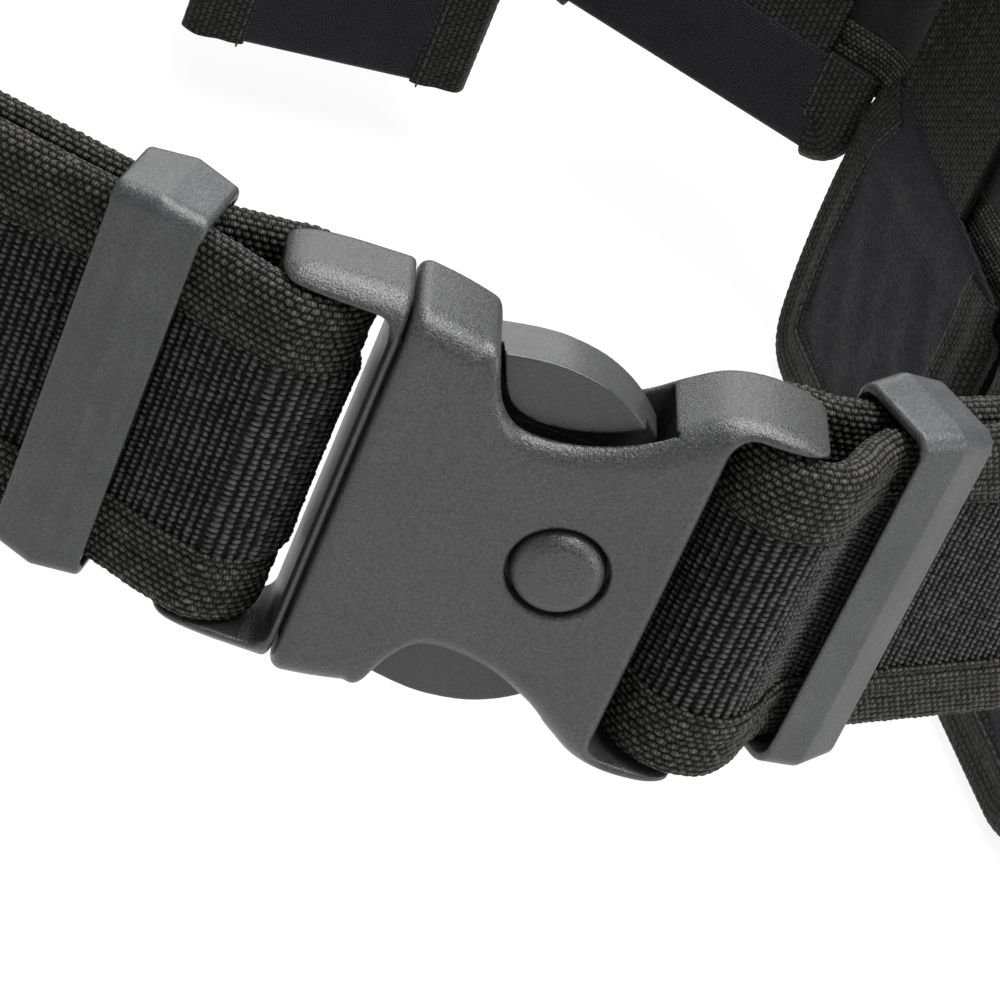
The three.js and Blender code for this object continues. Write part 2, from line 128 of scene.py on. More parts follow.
def piece(name, points, faces, finish, body=None, replaced=(), uv=None, place=None):
    """A mesh object from points in millimetres. place is (x, y, angle) of the points' own frame."""
    points = np.asarray(points, float).reshape(-1, 3)
    if place is not None:
        x, y, angle = place
        c, s = math.cos(math.radians(angle)), math.sin(math.radians(angle))
        turned = np.empty_like(points)
        turned[:, 0] = x + c * points[:, 0] - s * points[:, 1]
        turned[:, 1] = y + s * points[:, 0] + c * points[:, 1]
        turned[:, 2] = points[:, 2]
        points = turned
    mesh = bpy.data.meshes.new(name)
    mesh.from_pydata((origin + points * MM).tolist(), [], faces)
    mesh.shade_smooth()
    if uv is not None:
        layer = mesh.uv_layers.new(name="mm")
        corner = np.zeros(len(mesh.loops), np.int32)
        mesh.loops.foreach_get("vertex_index", corner)
        layer.data.foreach_set("uv", np.asarray(uv, np.float32).reshape(-1, 2)[corner].ravel())
    mesh.materials.append(finish)
    obj = bpy.data.objects.new(name, mesh)
    bpy.context.scene.collection.objects.link(obj)
    if body is not None:
        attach(obj, body)
    if replaced:
        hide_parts(*replaced)
    return obj


def tube_faces(count, size, ring=False):
    """Quads between rows of points that each run round a closed section, and the two end faces."""
    ids = np.arange(count * size).reshape(count, size)
    here = ids if ring else ids[:-1]
    there = np.roll(ids, -1, 0) if ring else ids[1:]
    quads = np.stack([here, there, np.roll(there, -1, 1), np.roll(here, -1, 1)], 2).reshape(-1, 4)
    faces = quads.tolist()
    if not ring:
        faces += [ids[0].tolist(), ids[-1][::-1].tolist()]
    return faces


def closed(grid, ring=False):
    """The closed shape through rows of points that each run round a section, its faces turned outward."""
    points = grid.reshape(-1, 3)
    faces = tube_faces(*grid.shape[:2], ring)
    volume = 0.0
    quads = np.array([f for f in faces if len(f) == 4])
    for a, b, c in ((0, 1, 2), (0, 2, 3)):
        p, q, r = (points[quads[:, k]] for k in (a, b, c))
        volume += np.einsum("ij,ij->", p, np.cross(q, r))
    return points, faces if volume > 0 else [f[::-1] for f in faces]


def unit(vectors):
    """The vectors, each made one long."""
    return vectors / np.maximum(np.linalg.norm(vectors, axis=-1, keepdims=True), 1e-9)


def directions(path, closed=False):
    """Which way the path runs at each of its points."""
    return unit(np.roll(path, -1, 0) - np.roll(path, 1, 0) if closed else np.gradient(path, axis=0))


def right_of(ahead):
    """Flat directions, turned a quarter clockwise."""
    return np.stack([ahead[:, 1], -ahead[:, 0]], 1)


def distances(points):
    """How far along a polyline each of its points is."""
    return np.concatenate([[0], np.cumsum(np.linalg.norm(np.diff(points, axis=0), axis=1))])


def from_end(path):
    """How many points each one is from the nearer end."""
    count = np.arange(len(path))
    return np.minimum(count, count[::-1])


def weave_uv(along, around):
    """The mm coordinates that the woven materials read, for rows of points round a section."""
    return np.stack(np.broadcast_arrays(along[:, None], around[None]), 2)


def loft(centres, first, second, profile, height, ring=False):
    """A closed solid: the profile carried along the centres, in two axes that are each one vector, or one
    for each centre. height moves its points along the profile's own outward normal, and can leave out the
    last ones. ring joins the end to the start."""
    first, second = np.atleast_2d(first, second)
    height = np.pad(height, ((0, 0), (0, len(profile) - height.shape[1])))
    normal = right_of(directions(profile, closed=True))
    x, y = profile.T
    if np.sum(x * np.roll(y, -1) - np.roll(x, -1) * y) < 0:
        normal = -normal
    flat = profile + height[:, :, None] * normal
    grid = centres[:, None] + flat[:, :, :1] * first[:, None] + flat[:, :, 1:] * second[:, None]
    return closed(grid, ring)


def smooth_line(points, step):
    """A Catmull-Rom curve through the points, sampled evenly."""
    points = np.asarray(points, float)
    padded = np.vstack([points[:1], points, points[-1:]])
    share = np.linspace(0, 1, 24, endpoint=False)[:, None]
    runs = []
    for a, b, c, d in zip(padded, padded[1:], padded[2:], padded[3:]):
        runs.append(0.5 * (
            2 * b + (c - a) * share + (2 * a - 5 * b + 4 * c - d) * share ** 2
            + (3 * b - a - 3 * c + d) * share ** 3
        ))
    return even_line(np.vstack([*runs, points[-1:]]), step)


def even_line(points, step, closed=False):
    """The polyline's points, evenly spaced. A closed line comes with its end at its start."""
    lengths = distances(points)
    count = max(int(round(lengths[-1] / step)), 2)
    at = np.linspace(0, lengths[-1], count + 1)
    even = np.stack([np.interp(at, lengths, points[:, k]) for k in range(points.shape[1])], 1)
    return even[:-1] if closed else even


def rounded_box(x0, x1, y0, y1, radii, corner_points, step):
    """A rectangle's outline, anticlockwise, with a radius for each corner from the lower right one on."""
    path = []
    for k, (x, y, radius) in enumerate(zip((x1, x1, x0, x0), (y0, y1, y1, y0), radii)):
        middle_x = x - math.copysign(radius, x - (x0 + x1) / 2)
        middle_y = y - math.copysign(radius, y - (y0 + y1) / 2)
        for turn in np.radians(np.linspace(90 * k - 90, 90 * k, corner_points)):
            path.append((middle_x + radius * math.cos(turn), middle_y + radius * math.sin(turn)))
    return even_line(np.array(path + path[:1]), step, closed=True)


# ---------------------------------------------------------------- moulded shapes as distance fields

def outline_distance(x, z, outline):
    """Signed distance from a closed outline, negative inside."""
    best = np.full(np.broadcast(x, z).shape, 1e9)
    inside = np.zeros(best.shape, bool)
    for (ax, az), (bx, bz) in zip(outline, np.roll(outline, -1, 0)):
        ex, ez = bx - ax, bz - az
        wx, wz = x - ax, z - az
        share = np.clip((wx * ex + wz * ez) / max(ex * ex + ez * ez, 1e-12), 0, 1)
        best = np.minimum(best, (wx - ex * share) ** 2 + (wz - ez * share) ** 2)
        crossing = (az > z) != (bz > z)
        slope = ex / ez if ez else 0.0
        inside ^= crossing & (x < slope * (z - az) + ax)
    return np.where(inside, -1, 1) * np.sqrt(best)


def meet(a, b, r=0.0):
    """What two shapes share, with the edge between them rounded."""
    return np.minimum(-r, np.maximum(a, b)) + np.hypot(np.maximum(a + r, 0), np.maximum(b + r, 0))


def cut(a, b, r=0.0):
    """The first shape without the second."""
    return meet(a, -b, r)


def merge(a, b, r=0.0):
    """Both shapes as one."""
    return -meet(-a, -b, r)


def slab(value, low, high):
    """Distance from the space between two parallel planes."""
    return np.maximum(low - value, value - high)


def surface(shape, low, high, step):
    """Points and faces of a distance field's surface: one point in each cell that it crosses, pulled onto
    the surface afterwards."""
    axes = [np.arange(a, b + step, step) for a, b in zip(low, high)]
    x, y, z = (a.reshape([-1 if k == i else 1 for k in range(3)]) for i, a in enumerate(axes))
    field = np.broadcast_to(shape(x, y, z), [len(a) for a in axes])
    stride = np.array([field.shape[1] * field.shape[2], field.shape[2], 1])
    owners, places = [], []
    for axis in range(3):
        near = field[tuple(slice(0, -1) if k == axis else slice(None) for k in range(3))]
        far = field[tuple(slice(1, None) if k == axis else slice(None) for k in range(3))]
        index = np.argwhere((near < 0) != (far < 0))
        a, b = near[tuple(index.T)], far[tuple(index.T)]
        place = index.astype(float)
        place[:, axis] += a / (a - b)
        side, other = (axis + 1) % 3, (axis + 2) % 3
        around = []
        for back_side, back_other in ((0, 0), (1, 0), (1, 1), (0, 1)):
            cell = index.copy()
            cell[:, side] -= back_side
            cell[:, other] -= back_other
            around.append(cell @ stride)
        quad = np.stack(around, 1)
        leaving = a < 0
        quad[~leaving] = quad[~leaving][:, ::-1]
        owners.append(quad)
        places.append(place)
    owners = np.vstack(owners)
    places = np.repeat(np.vstack(places), 4, axis=0)
    _, number = np.unique(owners.ravel(), return_inverse=True)
    count = np.bincount(number)
    points = np.stack([np.bincount(number, places[:, k]) / count for k in range(3)], 1)
    points = np.array([a[0] for a in axes]) + points * step
    tiny = 0.02
    for _ in range(3):
        value = shape(points[:, 0], points[:, 1], points[:, 2])
        slope = np.stack([shape(*(points + tiny * axis).T) - value for axis in np.eye(3)], 1) / tiny
        move = value[:, None] * slope / np.maximum(np.sum(slope ** 2, 1), 0.25)[:, None]
        points = points - np.clip(move, -step, step)
    return points, number.reshape(-1, 4).tolist()


# ---------------------------------------------------------------- materials

class Finish:
    """A node-based material built around one Principled shader. values are its inputs by name, with _ for
    each space."""

    def __init__(self, name, **values):
        self.material = bpy.data.materials.new(name)
        self.material.use_nodes = True
        self.tree = self.material.node_tree
        self.shader = self.tree.nodes["Principled BSDF"]
        for key, value in values.items():
            self.shader.inputs[key.replace("_", " ")].default_value = value

    def add(self, kind, *inputs, **settings):
        """A node, its inputs in order: a value, or another node's output. None leaves the default."""
        node = self.tree.nodes.new("ShaderNode" + kind)
        for key, value in settings.items():
            setattr(node, key, value)
        for socket, value in zip(node.inputs, inputs):
            if isinstance(value, bpy.types.NodeSocket):
                self.tree.links.new(value, socket)
            elif value is not None:
                socket.default_value = value
        return node

    def math(self, operation, *inputs):
        return self.add("Math", *inputs, operation=operation).outputs[0]

    def noise(self, scale, detail=2.0, stretch=None, twist=0.0):
        """Noise with that many cells to the millimetre, in the object's own coordinates."""
        where = self.add("TexCoord").outputs["Object"]
        if stretch is not None:
            where = self.add("Mapping", where, None, None, stretch).outputs[0]
        node = self.add("TexNoise", where)
        node.inputs["Scale"].default_value = scale / MM
        node.inputs["Detail"].default_value = detail
        node.inputs["Distortion"].default_value = twist
        return node.outputs["Fac"]

    def ramp(self, value, stops):
        """A colour ramp: stops are (place, colour)."""
        node = self.add("ValToRGB", value)
        band = node.color_ramp
        for i, (place, colour) in enumerate(stops):
            stop = band.elements[i] if i < 2 else band.elements.new(place)
            stop.position = place
            stop.color = (*colour, 1)
        return node.outputs[0]

    def span(self, value, low, high):
        """A 0 to 1 value spread from low to high."""
        return self.add("MapRange", value, 0.0, 1.0, low, high).outputs[0]

    def link(self, output, name):
        self.tree.links.new(output, self.shader.inputs[name])

    def bump(self, height, depth, strength=1.0, normal=None):
        """Bumps of that depth in millimetres, on the normals from an earlier call if given."""
        node = self.add("Bump", strength)
        node.inputs["Distance"].default_value = depth * MM
        self.tree.links.new(height, node.inputs["Height"])
        if normal is not None:
            self.tree.links.new(normal, node.inputs["Normal"])
        self.link(node.outputs[0], "Normal")
        return node.outputs[0]

    def wave(self, value, turns, power):
        """Rounded bumps, 0 to 1, that many to each unit."""
        swing = self.math("ABSOLUTE", self.math("SINE", self.math("MULTIPLY", value, math.pi * turns)))
        return self.math("POWER", swing, power)

    def yarns(self, width, length, rows_across=True, powers=(0.6, 0.6), strands=0):
        """Brick-laid yarn bumps, 0 to 1, over the mm coordinates that the woven pieces carry, and a random
        value for each yarn."""
        split = self.add("SeparateXYZ", self.add("UVMap", uv_map="mm").outputs[0])
        along = self.math("ADD", split.outputs[0], self.span(self.noise(0.9, 1.0), -0.35, 0.35))
        across = self.math("ADD", split.outputs[1], self.span(self.noise(0.7, 1.0), -0.3, 0.3))
        if not rows_across:
            along, across = across, along
        row = self.math("DIVIDE", across, width)
        shift = self.math("MULTIPLY", self.math("FLOORED_MODULO", self.math("FLOOR", row), 2.0), 0.5)
        turn = self.math("ADD", self.math("DIVIDE", along, length), shift)
        bump = self.math("MULTIPLY", self.wave(row, 1, powers[0]), self.wave(turn, 1, powers[1]))
        if strands:
            fine = self.span(self.wave(turn, strands, 0.7), 0.5, 1.0)
            bump = self.math("MULTIPLY", bump, fine)
        cell = self.add("CombineXYZ", self.math("FLOOR", row), self.math("FLOOR", turn), 0.0).outputs[0]
        return bump, self.add("TexWhiteNoise", cell).outputs["Value"]


def dusted(f, value, stops):
    """The ramp's colour, with a few pale specks of dust."""
    speck = f.ramp(f.noise(1.7, 1.0), [(0.765, (0, 0, 0)), (0.80, (0.05, 0.05, 0.05))])
    return f.add("VectorMath", f.ramp(value, stops), speck, operation="ADD").outputs[0]


def shaded(f, colour, grain, low, high):
    """The colour, multiplied by the grain spread from low to high: darker where the grain is low and lighter
    where it's high. Where the grain is also a bump's height, that is painted shade in the bump's pits and a
    painted highlight on its tops.
    """
    shade = f.span(grain, low, high)
    return f.add("VectorMath", colour, shade, operation="MULTIPLY").outputs[0]


def grained_plastic():
    """Moulded plastic with a fine pebbled grain, rubbed a little smoother in places. Its colour has painted
    shade in the pebbles' pits and a painted highlight on their tops.
    """
    f = Finish("grained_plastic", Roughness=0.4, Specular_IOR_Level=0.6)
    rubbed = f.noise(0.035, 4.0)
    pebbles = f.noise(3.0, 1.5, twist=0.8)
    colour = dusted(f, rubbed, [(0.35, (0.038, 0.0385, 0.0395)), (0.7, (0.047, 0.0475, 0.049))])
    # painted shade and painted highlight: the colour follows the same pebbles as the bump, darker in their
    # pits and lighter on their tops
    f.link(shaded(f, colour, pebbles, -0.3, 2.3), "Base Color")
    f.link(f.span(rubbed, 0.37, 0.27), "Roughness")
    lumps = f.bump(f.noise(0.9, 1.0), 0.06, 0.5)
    f.bump(pebbles, 0.11, 1.0, lumps)
    return f.material


def satin_plastic():
    """Smooth satin plastic with faint scratches along the slide, scuffs and dust."""
    f = Finish("satin_plastic", Roughness=0.36)
    scratches = f.noise(0.9, 6.0, stretch=(1.0, 1.0, 0.04))
    cloud = f.noise(0.12, 5.0)
    colour = dusted(f, cloud, [(0.3, (0.038, 0.039, 0.0405)), (0.7, (0.054, 0.055, 0.057))])
    streaks = f.noise(0.5, 5.0, stretch=(1.0, 1.0, 0.06))
    colour = shaded(f, colour, streaks, 0.7, 1.3)
    f.link(shaded(f, colour, f.noise(3.0, 1.0), 0.1, 1.9), "Base Color")
    f.link(f.span(scratches, 0.28, 0.46), "Roughness")
    lumps = f.bump(f.noise(0.3, 2.0), 0.05, 0.5)
    pebbles = f.bump(f.noise(2.4, 1.5, twist=0.6), 0.09, 0.9, lumps)
    f.bump(scratches, 0.016, 0.7, pebbles)
    return f.material


def polished_plastic():
    """Smooth plastic with fine streaks along the prongs."""
    f = Finish("polished_plastic", Roughness=0.3)
    cloud = f.noise(0.1, 4.0)
    colour = dusted(f, cloud, [(0.3, (0.038, 0.0385, 0.0395)), (0.7, (0.050, 0.0505, 0.052))])
    f.link(shaded(f, colour, f.noise(3.2, 1.0), 0.4, 1.6), "Base Color")
    f.link(f.span(f.noise(0.6, 4.0, stretch=(0.1, 1.0, 1.0)), 0.24, 0.42), "Roughness")
    f.bump(f.noise(2.2, 2.0, twist=0.5), 0.05, 0.7)
    return f.material


def woven(name, dark, light, weave, depth, roughness=0.55, strands=0, gap=0.3):
    """Cloth of brick-laid yarns with uneven yarns and loose fibres, with painted shade, near black, between
    the yarns and each yarn painted lighter towards its top as a painted highlight. weave is the rows' width,
    the yarns' length, whether the rows lie across the piece, and how square the bumps are."""
    f = Finish(name, Roughness=roughness, Specular_IOR_Level=0.16)
    height, each = f.yarns(*weave, strands=strands)
    uneven = f.math("MULTIPLY", f.span(f.noise(0.35, 3.0), 0.75, 1.25), f.span(each, 0.82, 1.1))
    # painted shade: the gaps between the yarns are near black, and the ramp paints each yarn lighter towards
    # its top as a painted highlight
    painted_gap_shade = tuple(0.05 * c for c in dark)
    stops = [(gap, painted_gap_shade), (gap + 0.25, dark), (1.0, light)]
    f.link(f.ramp(f.math("MULTIPLY", height, uneven), stops), "Base Color")
    f.link(f.span(each, roughness - 0.12, roughness + 0.12), "Roughness")
    fibres = f.bump(f.noise(5.0, 2.0), 0.05, 0.5)
    f.bump(height, depth, 0.9, fibres)
    return f.material


def pile():
    """Brushed loop pile."""
    f = Finish("loop_pile", Roughness=0.9, Sheen_Weight=0.08, Specular_IOR_Level=0.2)
    fuzz = f.noise(1.4, 6.0)
    f.link(f.ramp(fuzz, [(0.3, (0.002, 0.0022, 0.0022)), (0.65, (0.011, 0.0115, 0.011))]), "Base Color")
    f.bump(fuzz, 0.5, 0.9)
    return f.material


def thread():
    """Twisted sewing thread."""
    f = Finish("thread", Roughness=0.55)
    twist = f.noise(1.5, 3.0)
    f.link(f.ramp(twist, [(0.3, (0.010, 0.010, 0.010)), (0.7, (0.026, 0.026, 0.025))]), "Base Color")
    f.bump(f.noise(4.0, 2.0), 0.06, 0.6)
    return f.material


def enamel():
    """Black enamel on metal, worn in places."""
    f = Finish("snap_enamel", Roughness=0.28, Metallic=0.2)
    wear = f.noise(0.3, 5.0)
    f.link(f.ramp(wear, [(0.45, (0.012, 0.012, 0.013)), (0.72, (0.05, 0.05, 0.052))]), "Base Color")
    f.link(f.span(wear, 0.2, 0.45), "Roughness")
    f.bump(f.noise(0.8, 3.0), 0.02, 0.4)
    return f.material


grained = grained_plastic()
satin = satin_plastic()
polished = polished_plastic()
RIBS = (1.35, 0.9)  # the cover's ribs along the belt, and the beads along each rib
BASKET = (1.0, 1.25)  # the edge tapes' rows across, and the yarns along each row
RIB_POWERS = (0.8, 0.34)
BASKET_POWERS = (0.45, 0.45)  # the lower a power, the squarer the bumps
rib_cloth = woven("ribbed_webbing", (0.010, 0.010, 0.010), (0.088, 0.088, 0.086),
                  (*RIBS, False, RIB_POWERS), 0.22)
tape_cloth = woven("basket_tape", (0.032, 0.0315, 0.028), (0.108, 0.104, 0.091),
                   (*BASKET, True, BASKET_POWERS), 0.2, roughness=0.5, strands=3, gap=0.4)
binding_cloth = woven("binding", (0.012, 0.012, 0.010), (0.042, 0.041, 0.036),
                      (1.3, 1.6, True, BASKET_POWERS), 0.15, roughness=0.6, strands=2, gap=0.4)
oxford = woven("oxford_cloth", (0.006, 0.006, 0.008), (0.021, 0.0205, 0.026),
               (0.6, 0.8, True), 0.08, roughness=0.65, gap=0.2)
hook_cloth = woven("hook_tape", (0.010, 0.010, 0.010), (0.03, 0.03, 0.03), (1.1, 1.3, True), 0.15, 0.6)
lining = pile()
stitching = thread()
snap_enamel = enamel()


# ---------------------------------------------------------------- the buckle

def mirrored(top):
    """An outline from its upper edge, left to right, and the same edge below."""
    return np.vstack([top, (top * [1, -1])[::-1]])


def socket_outline():
    edge = smooth_line([
        (-31.4, 31), (-25.5, 30.2), (-20.6, 29.1), (-19.2, 28.4), (-18.4, 26.9), (-17.1, 23.6),
        (-15.8, 21.2), (-13.6, 19.3), (-10, 18.5), (-5, 19), (0, 20.6), (4.3, 23), (8.6, 26.5), (13, 29.4),
        (18, 30.6), (23.4, 30.4), (27.4, 29.3), (29.6, 27.8), (30.4, 24),
    ], 0.5)
    return mirrored(np.vstack([[(-40, 31)], edge]))


def plug_outline():
    edge = smooth_line([
        (-49.6, 24), (-49.6, 26.8), (-48.8, 28.9), (-46.2, 30.1), (-41.5, 30.7), (-36, 30.9), (-31.8, 31),
    ], 0.5)
    return mirrored(np.vstack([edge, [(-24, 31)]]))


def prong_outline():
    """The upper prong: its arm, its pad in the socket's window, and the neck between them."""
    pad = smooth_line([
        (6.2, 20.8), (4, 23.0), (1, 25.2), (-2.5, 26.9), (-6, 27.8), (-10, 28.2), (-14, 27.9),
        (-19.0, 27.0),
    ], 0.5)
    neck = smooth_line([(-18.3, 25.6), (-17.4, 23.8), (-17.4, 22), (-19.5, 21), (-24.7, 21)], 0.5)
    return np.vstack([[(-24.7, 16.5), (5.2, 16.5), (6.5, 18)], pad, neck])


SOCKET_OUTLINE = socket_outline()
PLUG_OUTLINE = plug_outline()
PRONG_OUTLINE = prong_outline()


def socket_shape(x, y, z):
    """The female half. Its broad front edge is tighter in the prongs' windows, most of all at their left
    wall."""
    s, c = SOCKET, CAVITY
    in_window = np.clip((x + 21) / 2.5, 0, 1) * np.clip((10 - x) / 8, 0, 1)
    at_wall = in_window * np.clip((-13 - x) / 3, 0, 1)
    edge = np.where(y < 0, s["front_edge"] - 1.2 * in_window - 1.5 * at_wall, s["back_edge"])
    body = meet(outline_distance(x, z, SOCKET_OUTLINE), abs(y) - s["half_depth"], edge)
    body = meet(body, SOCKET_LEFT - x, 2.0)
    slot = meet(s["slot_x"] - x, abs(z) - s["slot_half"], s["slot_corner"])
    body = cut(body, slot, s["slot_edge"])
    cavity = meet(x - c["right"], abs(y) - c["half_depth"], c["edge"])
    cavity = meet(cavity, abs(z) - c["half_height"], c["edge"])
    body = cut(body, cavity, c["edge"])
    button_hole = meet(np.hypot(x, z) - BUTTON["hole"], y)
    body = cut(body, button_hole, 0.5)
    bar = np.maximum(np.hypot(x - s["bar_x"], y - s["bar_y"]) - s["bar_radius"], abs(z) - 28)
    return merge(body, bar, 0.6)


def plug_shape(x, y, z):
    """The male half's frame, with the block that enters the socket and the bar for the webbing."""
    p = PLUG
    edge = np.where(y < 0, p["front_edge"], p["back_edge"])
    body = meet(outline_distance(x, z, PLUG_OUTLINE), abs(y) - p["half_depth"], edge)
    body = meet(body, x - p["right"], 1.0)
    slot = meet(x - p["slot_x"], abs(z) - p["slot_half"], p["slot_corner"])
    body = cut(body, slot, p["slot_edge"])
    block = meet(meet(slab(x, -33, -25), abs(y) - 6, 0.5), abs(z) - 24.6, 0.8)
    bar = np.maximum(np.hypot(x - PLUG_BAR[0], y - PLUG_BAR[1]) - p["bar_radius"], abs(z) - 28)
    return merge(merge(body, block), bar, 0.6)


def prong_shape(x, y, z):
    """The upper prong. Its front steps back where it passes under the window's edge."""
    from_window = outline_distance(x, z, SOCKET_OUTLINE)
    under = np.clip((PRONG["step_from"] - from_window) / PRONG["step_over"], 0, 1)
    thinned = PRONG["step_back"] * under ** 2 * (3 - 2 * under)
    depth = slab(y, thinned - PRONG["half_depth"], PRONG["half_depth"])
    return meet(outline_distance(x, z, PRONG_OUTLINE), depth, PRONG["edge"])


def button_shape(x, y, z):
    """The domed round button and the springy leaf behind it."""
    radius = np.hypot(x, z)
    dome = BUTTON["dome"] * (1 - (radius / BUTTON["radius"]) ** 2)
    cap = meet(radius - BUTTON["radius"], BUTTON["front"] - dome - y, BUTTON["edge"])
    cap = meet(cap, y + 4)
    leaf = meet(slab(x, -24.7, 8), abs(z) - BUTTON["leaf_half_height"], 1.5)
    leaf = meet(leaf, slab(y, -5.8, -2.7), 0.4)
    return merge(cap, leaf, 0.3)


def moulded(name, shape, low, high, step, finish, body, place=None):
    """The piece whose surface that distance field has, looked for between low and high."""
    points, faces = surface(shape, low, high, step)
    return piece(name, points, faces, finish, body, [name], place=place)


def add_buckle():
    coarse = 0.4
    fine = 0.32

    def lower(x, y, z):
        return prong_shape(x, y, -z)

    for name, shape, low, high, step, finish, body in (
        ("buckle_socket", socket_shape, (-33, -10, -32), (32, 10, 32), coarse, grained, "belt"),
        ("buckle_plug", plug_shape, (-51, -9, -32), (-23.5, 9, 32), coarse, grained, "plug"),
        ("upper_prong", prong_shape, (-26, -6, 15), (8, 6, 30), fine, polished, "upper_prong"),
        ("lower_prong", lower, (-26, -6, -30), (8, 6, -15), fine, polished, "lower_prong"),
        ("centre_button", button_shape, (-26, -11, -9), (9.5, 0, 9), fine, grained, "centre_button"),
    ):
        moulded(name, shape, low, high, step, finish, body)


def keeper_shape(x, y, z):
    """A rectangular sleeve, highest along a ridge round its middle."""
    k = KEEPER
    lean = k["ridge"] * abs(x) / (k["length"] / 2)
    outside = meet(abs(y) - (k["depth"] / 2 - lean), abs(z) - (k["height"] / 2 - lean), k["edge"])
    outside = meet(outside, abs(x) - k["length"] / 2, k["end_edge"])
    hole = meet(abs(y) - k["hole_depth"] / 2, abs(z) - k["hole_height"] / 2, k["hole_corner"])
    return cut(outside, hole, k["hole_edge"])


def add_keepers():
    step = 0.42
    low, high = (-8, -10.5, -32), (8, 10.5, 32)
    for name, place in (("keeper_left", (-64.72, 6.73, -14)), ("keeper_right", (44.05, 15.76, 33.5))):
        moulded(name, keeper_shape, low, high, step, satin, name, place)


add_buckle()
add_keepers()


# ---------------------------------------------------------------- the webbing's route, seen from above

def on_line(line, along, inward=0.0):
    """A place on a straight run, or beside it towards the wearer."""
    angle = math.radians(line["angle"])
    x = line["x"] + along * math.cos(angle) - inward * math.sin(angle)
    y = line["y"] + along * math.sin(angle) + inward * math.cos(angle)
    return np.array([x, y])


class Route:
    """A line made of straight runs, splines and arcs, with marks that name places on it."""

    def __init__(self, start):
        self.points = [np.asarray(start, float)]
        self.marks = {}

    def length(self):
        return float(distances(np.array(self.points))[-1])

    def mark(self, name):
        self.marks[name] = self.length()

    def line(self, end):
        end = np.asarray(end, float)
        count = max(int(np.linalg.norm(end - self.points[-1]) / 0.5), 1)
        start = self.points[-1]
        self.points += [start + (end - start) * k / count for k in range(1, count + 1)]

    def spline(self, *through):
        self.points += list(smooth_line([self.points[-1], *through], 0.4)[1:])

    def arc(self, centre, rx, ry, start, end):
        count = max(int(abs(end - start) * max(rx, ry) / 0.4), 2)
        for angle in np.linspace(start, end, count + 1)[1:]:
            x, y = centre[0] + rx * math.cos(angle), centre[1] + ry * math.sin(angle)
            self.points.append(np.array([x, y]))

    def turn(self, corner, following):
        """A straight run up to a rounded corner (x, y, radius), and the corner."""
        here, radius = np.array(corner[:2]), corner[2]
        arriving = unit(here - self.points[-1])
        leaving = unit(np.asarray(following[:2]) - here)
        angle = math.atan2(arriving[0] * leaving[1] - arriving[1] * leaving[0], arriving @ leaving)
        start = here - arriving * radius * math.tan(angle / 2)
        centre = start + radius * np.array([-arriving[1], arriving[0]])
        first = math.atan2(start[1] - centre[1], start[0] - centre[0])
        self.line(start)
        self.arc(centre, radius, radius, first, first + angle)


def belt_route():
    """From the folded end, round the socket's bar, along the right side and the back to the seam."""
    route = Route(on_line(RIGHT_LINE, 32, BELT["tail"]))
    route.line(on_line(RIGHT_LINE, -7, BELT["tail"]))
    fold = SOCKET_FOLD
    route.spline((31.2, 13.8), (fold["x"], fold["y"] + fold["ry"]))
    route.mark("fold")
    route.arc((fold["x"], fold["y"]), fold["rx"], fold["ry"], math.pi / 2, math.pi * 1.5)
    route.spline((30.4, -4.3), (33.7, -0.4), (36.6, 5.6), on_line(RIGHT_LINE, -7))
    route.mark("front")
    route.turn(FRONT_RIGHT, BACK_RIGHT)
    route.mark("side")
    route.turn(BACK_RIGHT, BACK)
    route.turn(BACK, BACK_LEFT)
    route.turn(BACK_LEFT, (LEFT_SIDE_X, 0))
    route.line((LEFT_SIDE_X, SEAM_Y + SEAM_HALF_GAP))
    return route


def strap_route():
    """From the seam, along the left front, round the plug's bar to the folded end."""
    line = LEFT_LINE
    slope = math.tan(math.radians(line["angle"]))
    corner = (LEFT_SIDE_X, line["y"] + (LEFT_SIDE_X - line["x"]) * slope, FRONT_LEFT_RADIUS)
    route = Route((LEFT_SIDE_X, SEAM_Y - SEAM_HALF_GAP))
    route.turn(corner, (line["x"], line["y"]))
    route.line(on_line(line, -50))
    route.mark("front")
    route.line(on_line(line, 2))
    route.spline((-57.3, 0.9), (-52, -2.1), (PLUG_BAR[0], PLUG_BAR[1] - PLUG_FOLD_RADIUS))
    route.mark("fold")
    route.arc(PLUG_BAR, PLUG_FOLD_RADIUS, PLUG_FOLD_RADIUS, -math.pi / 2, math.pi / 2)
    route.mark("tail")
    route.spline((-52, 10.2), on_line(line, 2, BELT["tail"]))
    route.line(on_line(line, -42, BELT["tail"]))
    return route


def stations(route, fine, coarse, fine_from, fine_to):
    """Distances along the route, closer together between two of them, and how far each is in that part."""
    total = route.length()
    fine_from, fine_to = max(fine_from, 0.0), min(fine_to, total)
    parts = []
    for start, end, step in ((0, fine_from, coarse), (fine_from, fine_to, fine), (fine_to, total, coarse)):
        if end - start > 1e-6:
            count = max(int(round((end - start) / step)), 1)
            parts.append(np.linspace(start, end, count, endpoint=False))
    at = np.concatenate([*parts, [total]])
    fade = 3.0
    share = np.clip(np.minimum((at - fine_from) / fade, (fine_to - at) / fade), 0, 1)
    if fine_from <= 0:
        share[at < fade] = 1
    if fine_to >= total:
        share[at > total - fade] = 1
    return at, share


def frames(route, at):
    """Centres, and outward normals, at those distances."""
    line = np.array(route.points)
    lengths = distances(line)

    def where(distance):
        return np.stack([np.interp(distance, lengths, line[:, k]) for k in range(2)], 1)

    reach = 0.6
    ahead = unit(where(np.minimum(at + reach, lengths[-1])) - where(np.maximum(at - reach, 0)))
    zero = np.zeros((len(at), 1))
    return np.hstack([where(at), zero]), np.hstack([right_of(ahead), zero])


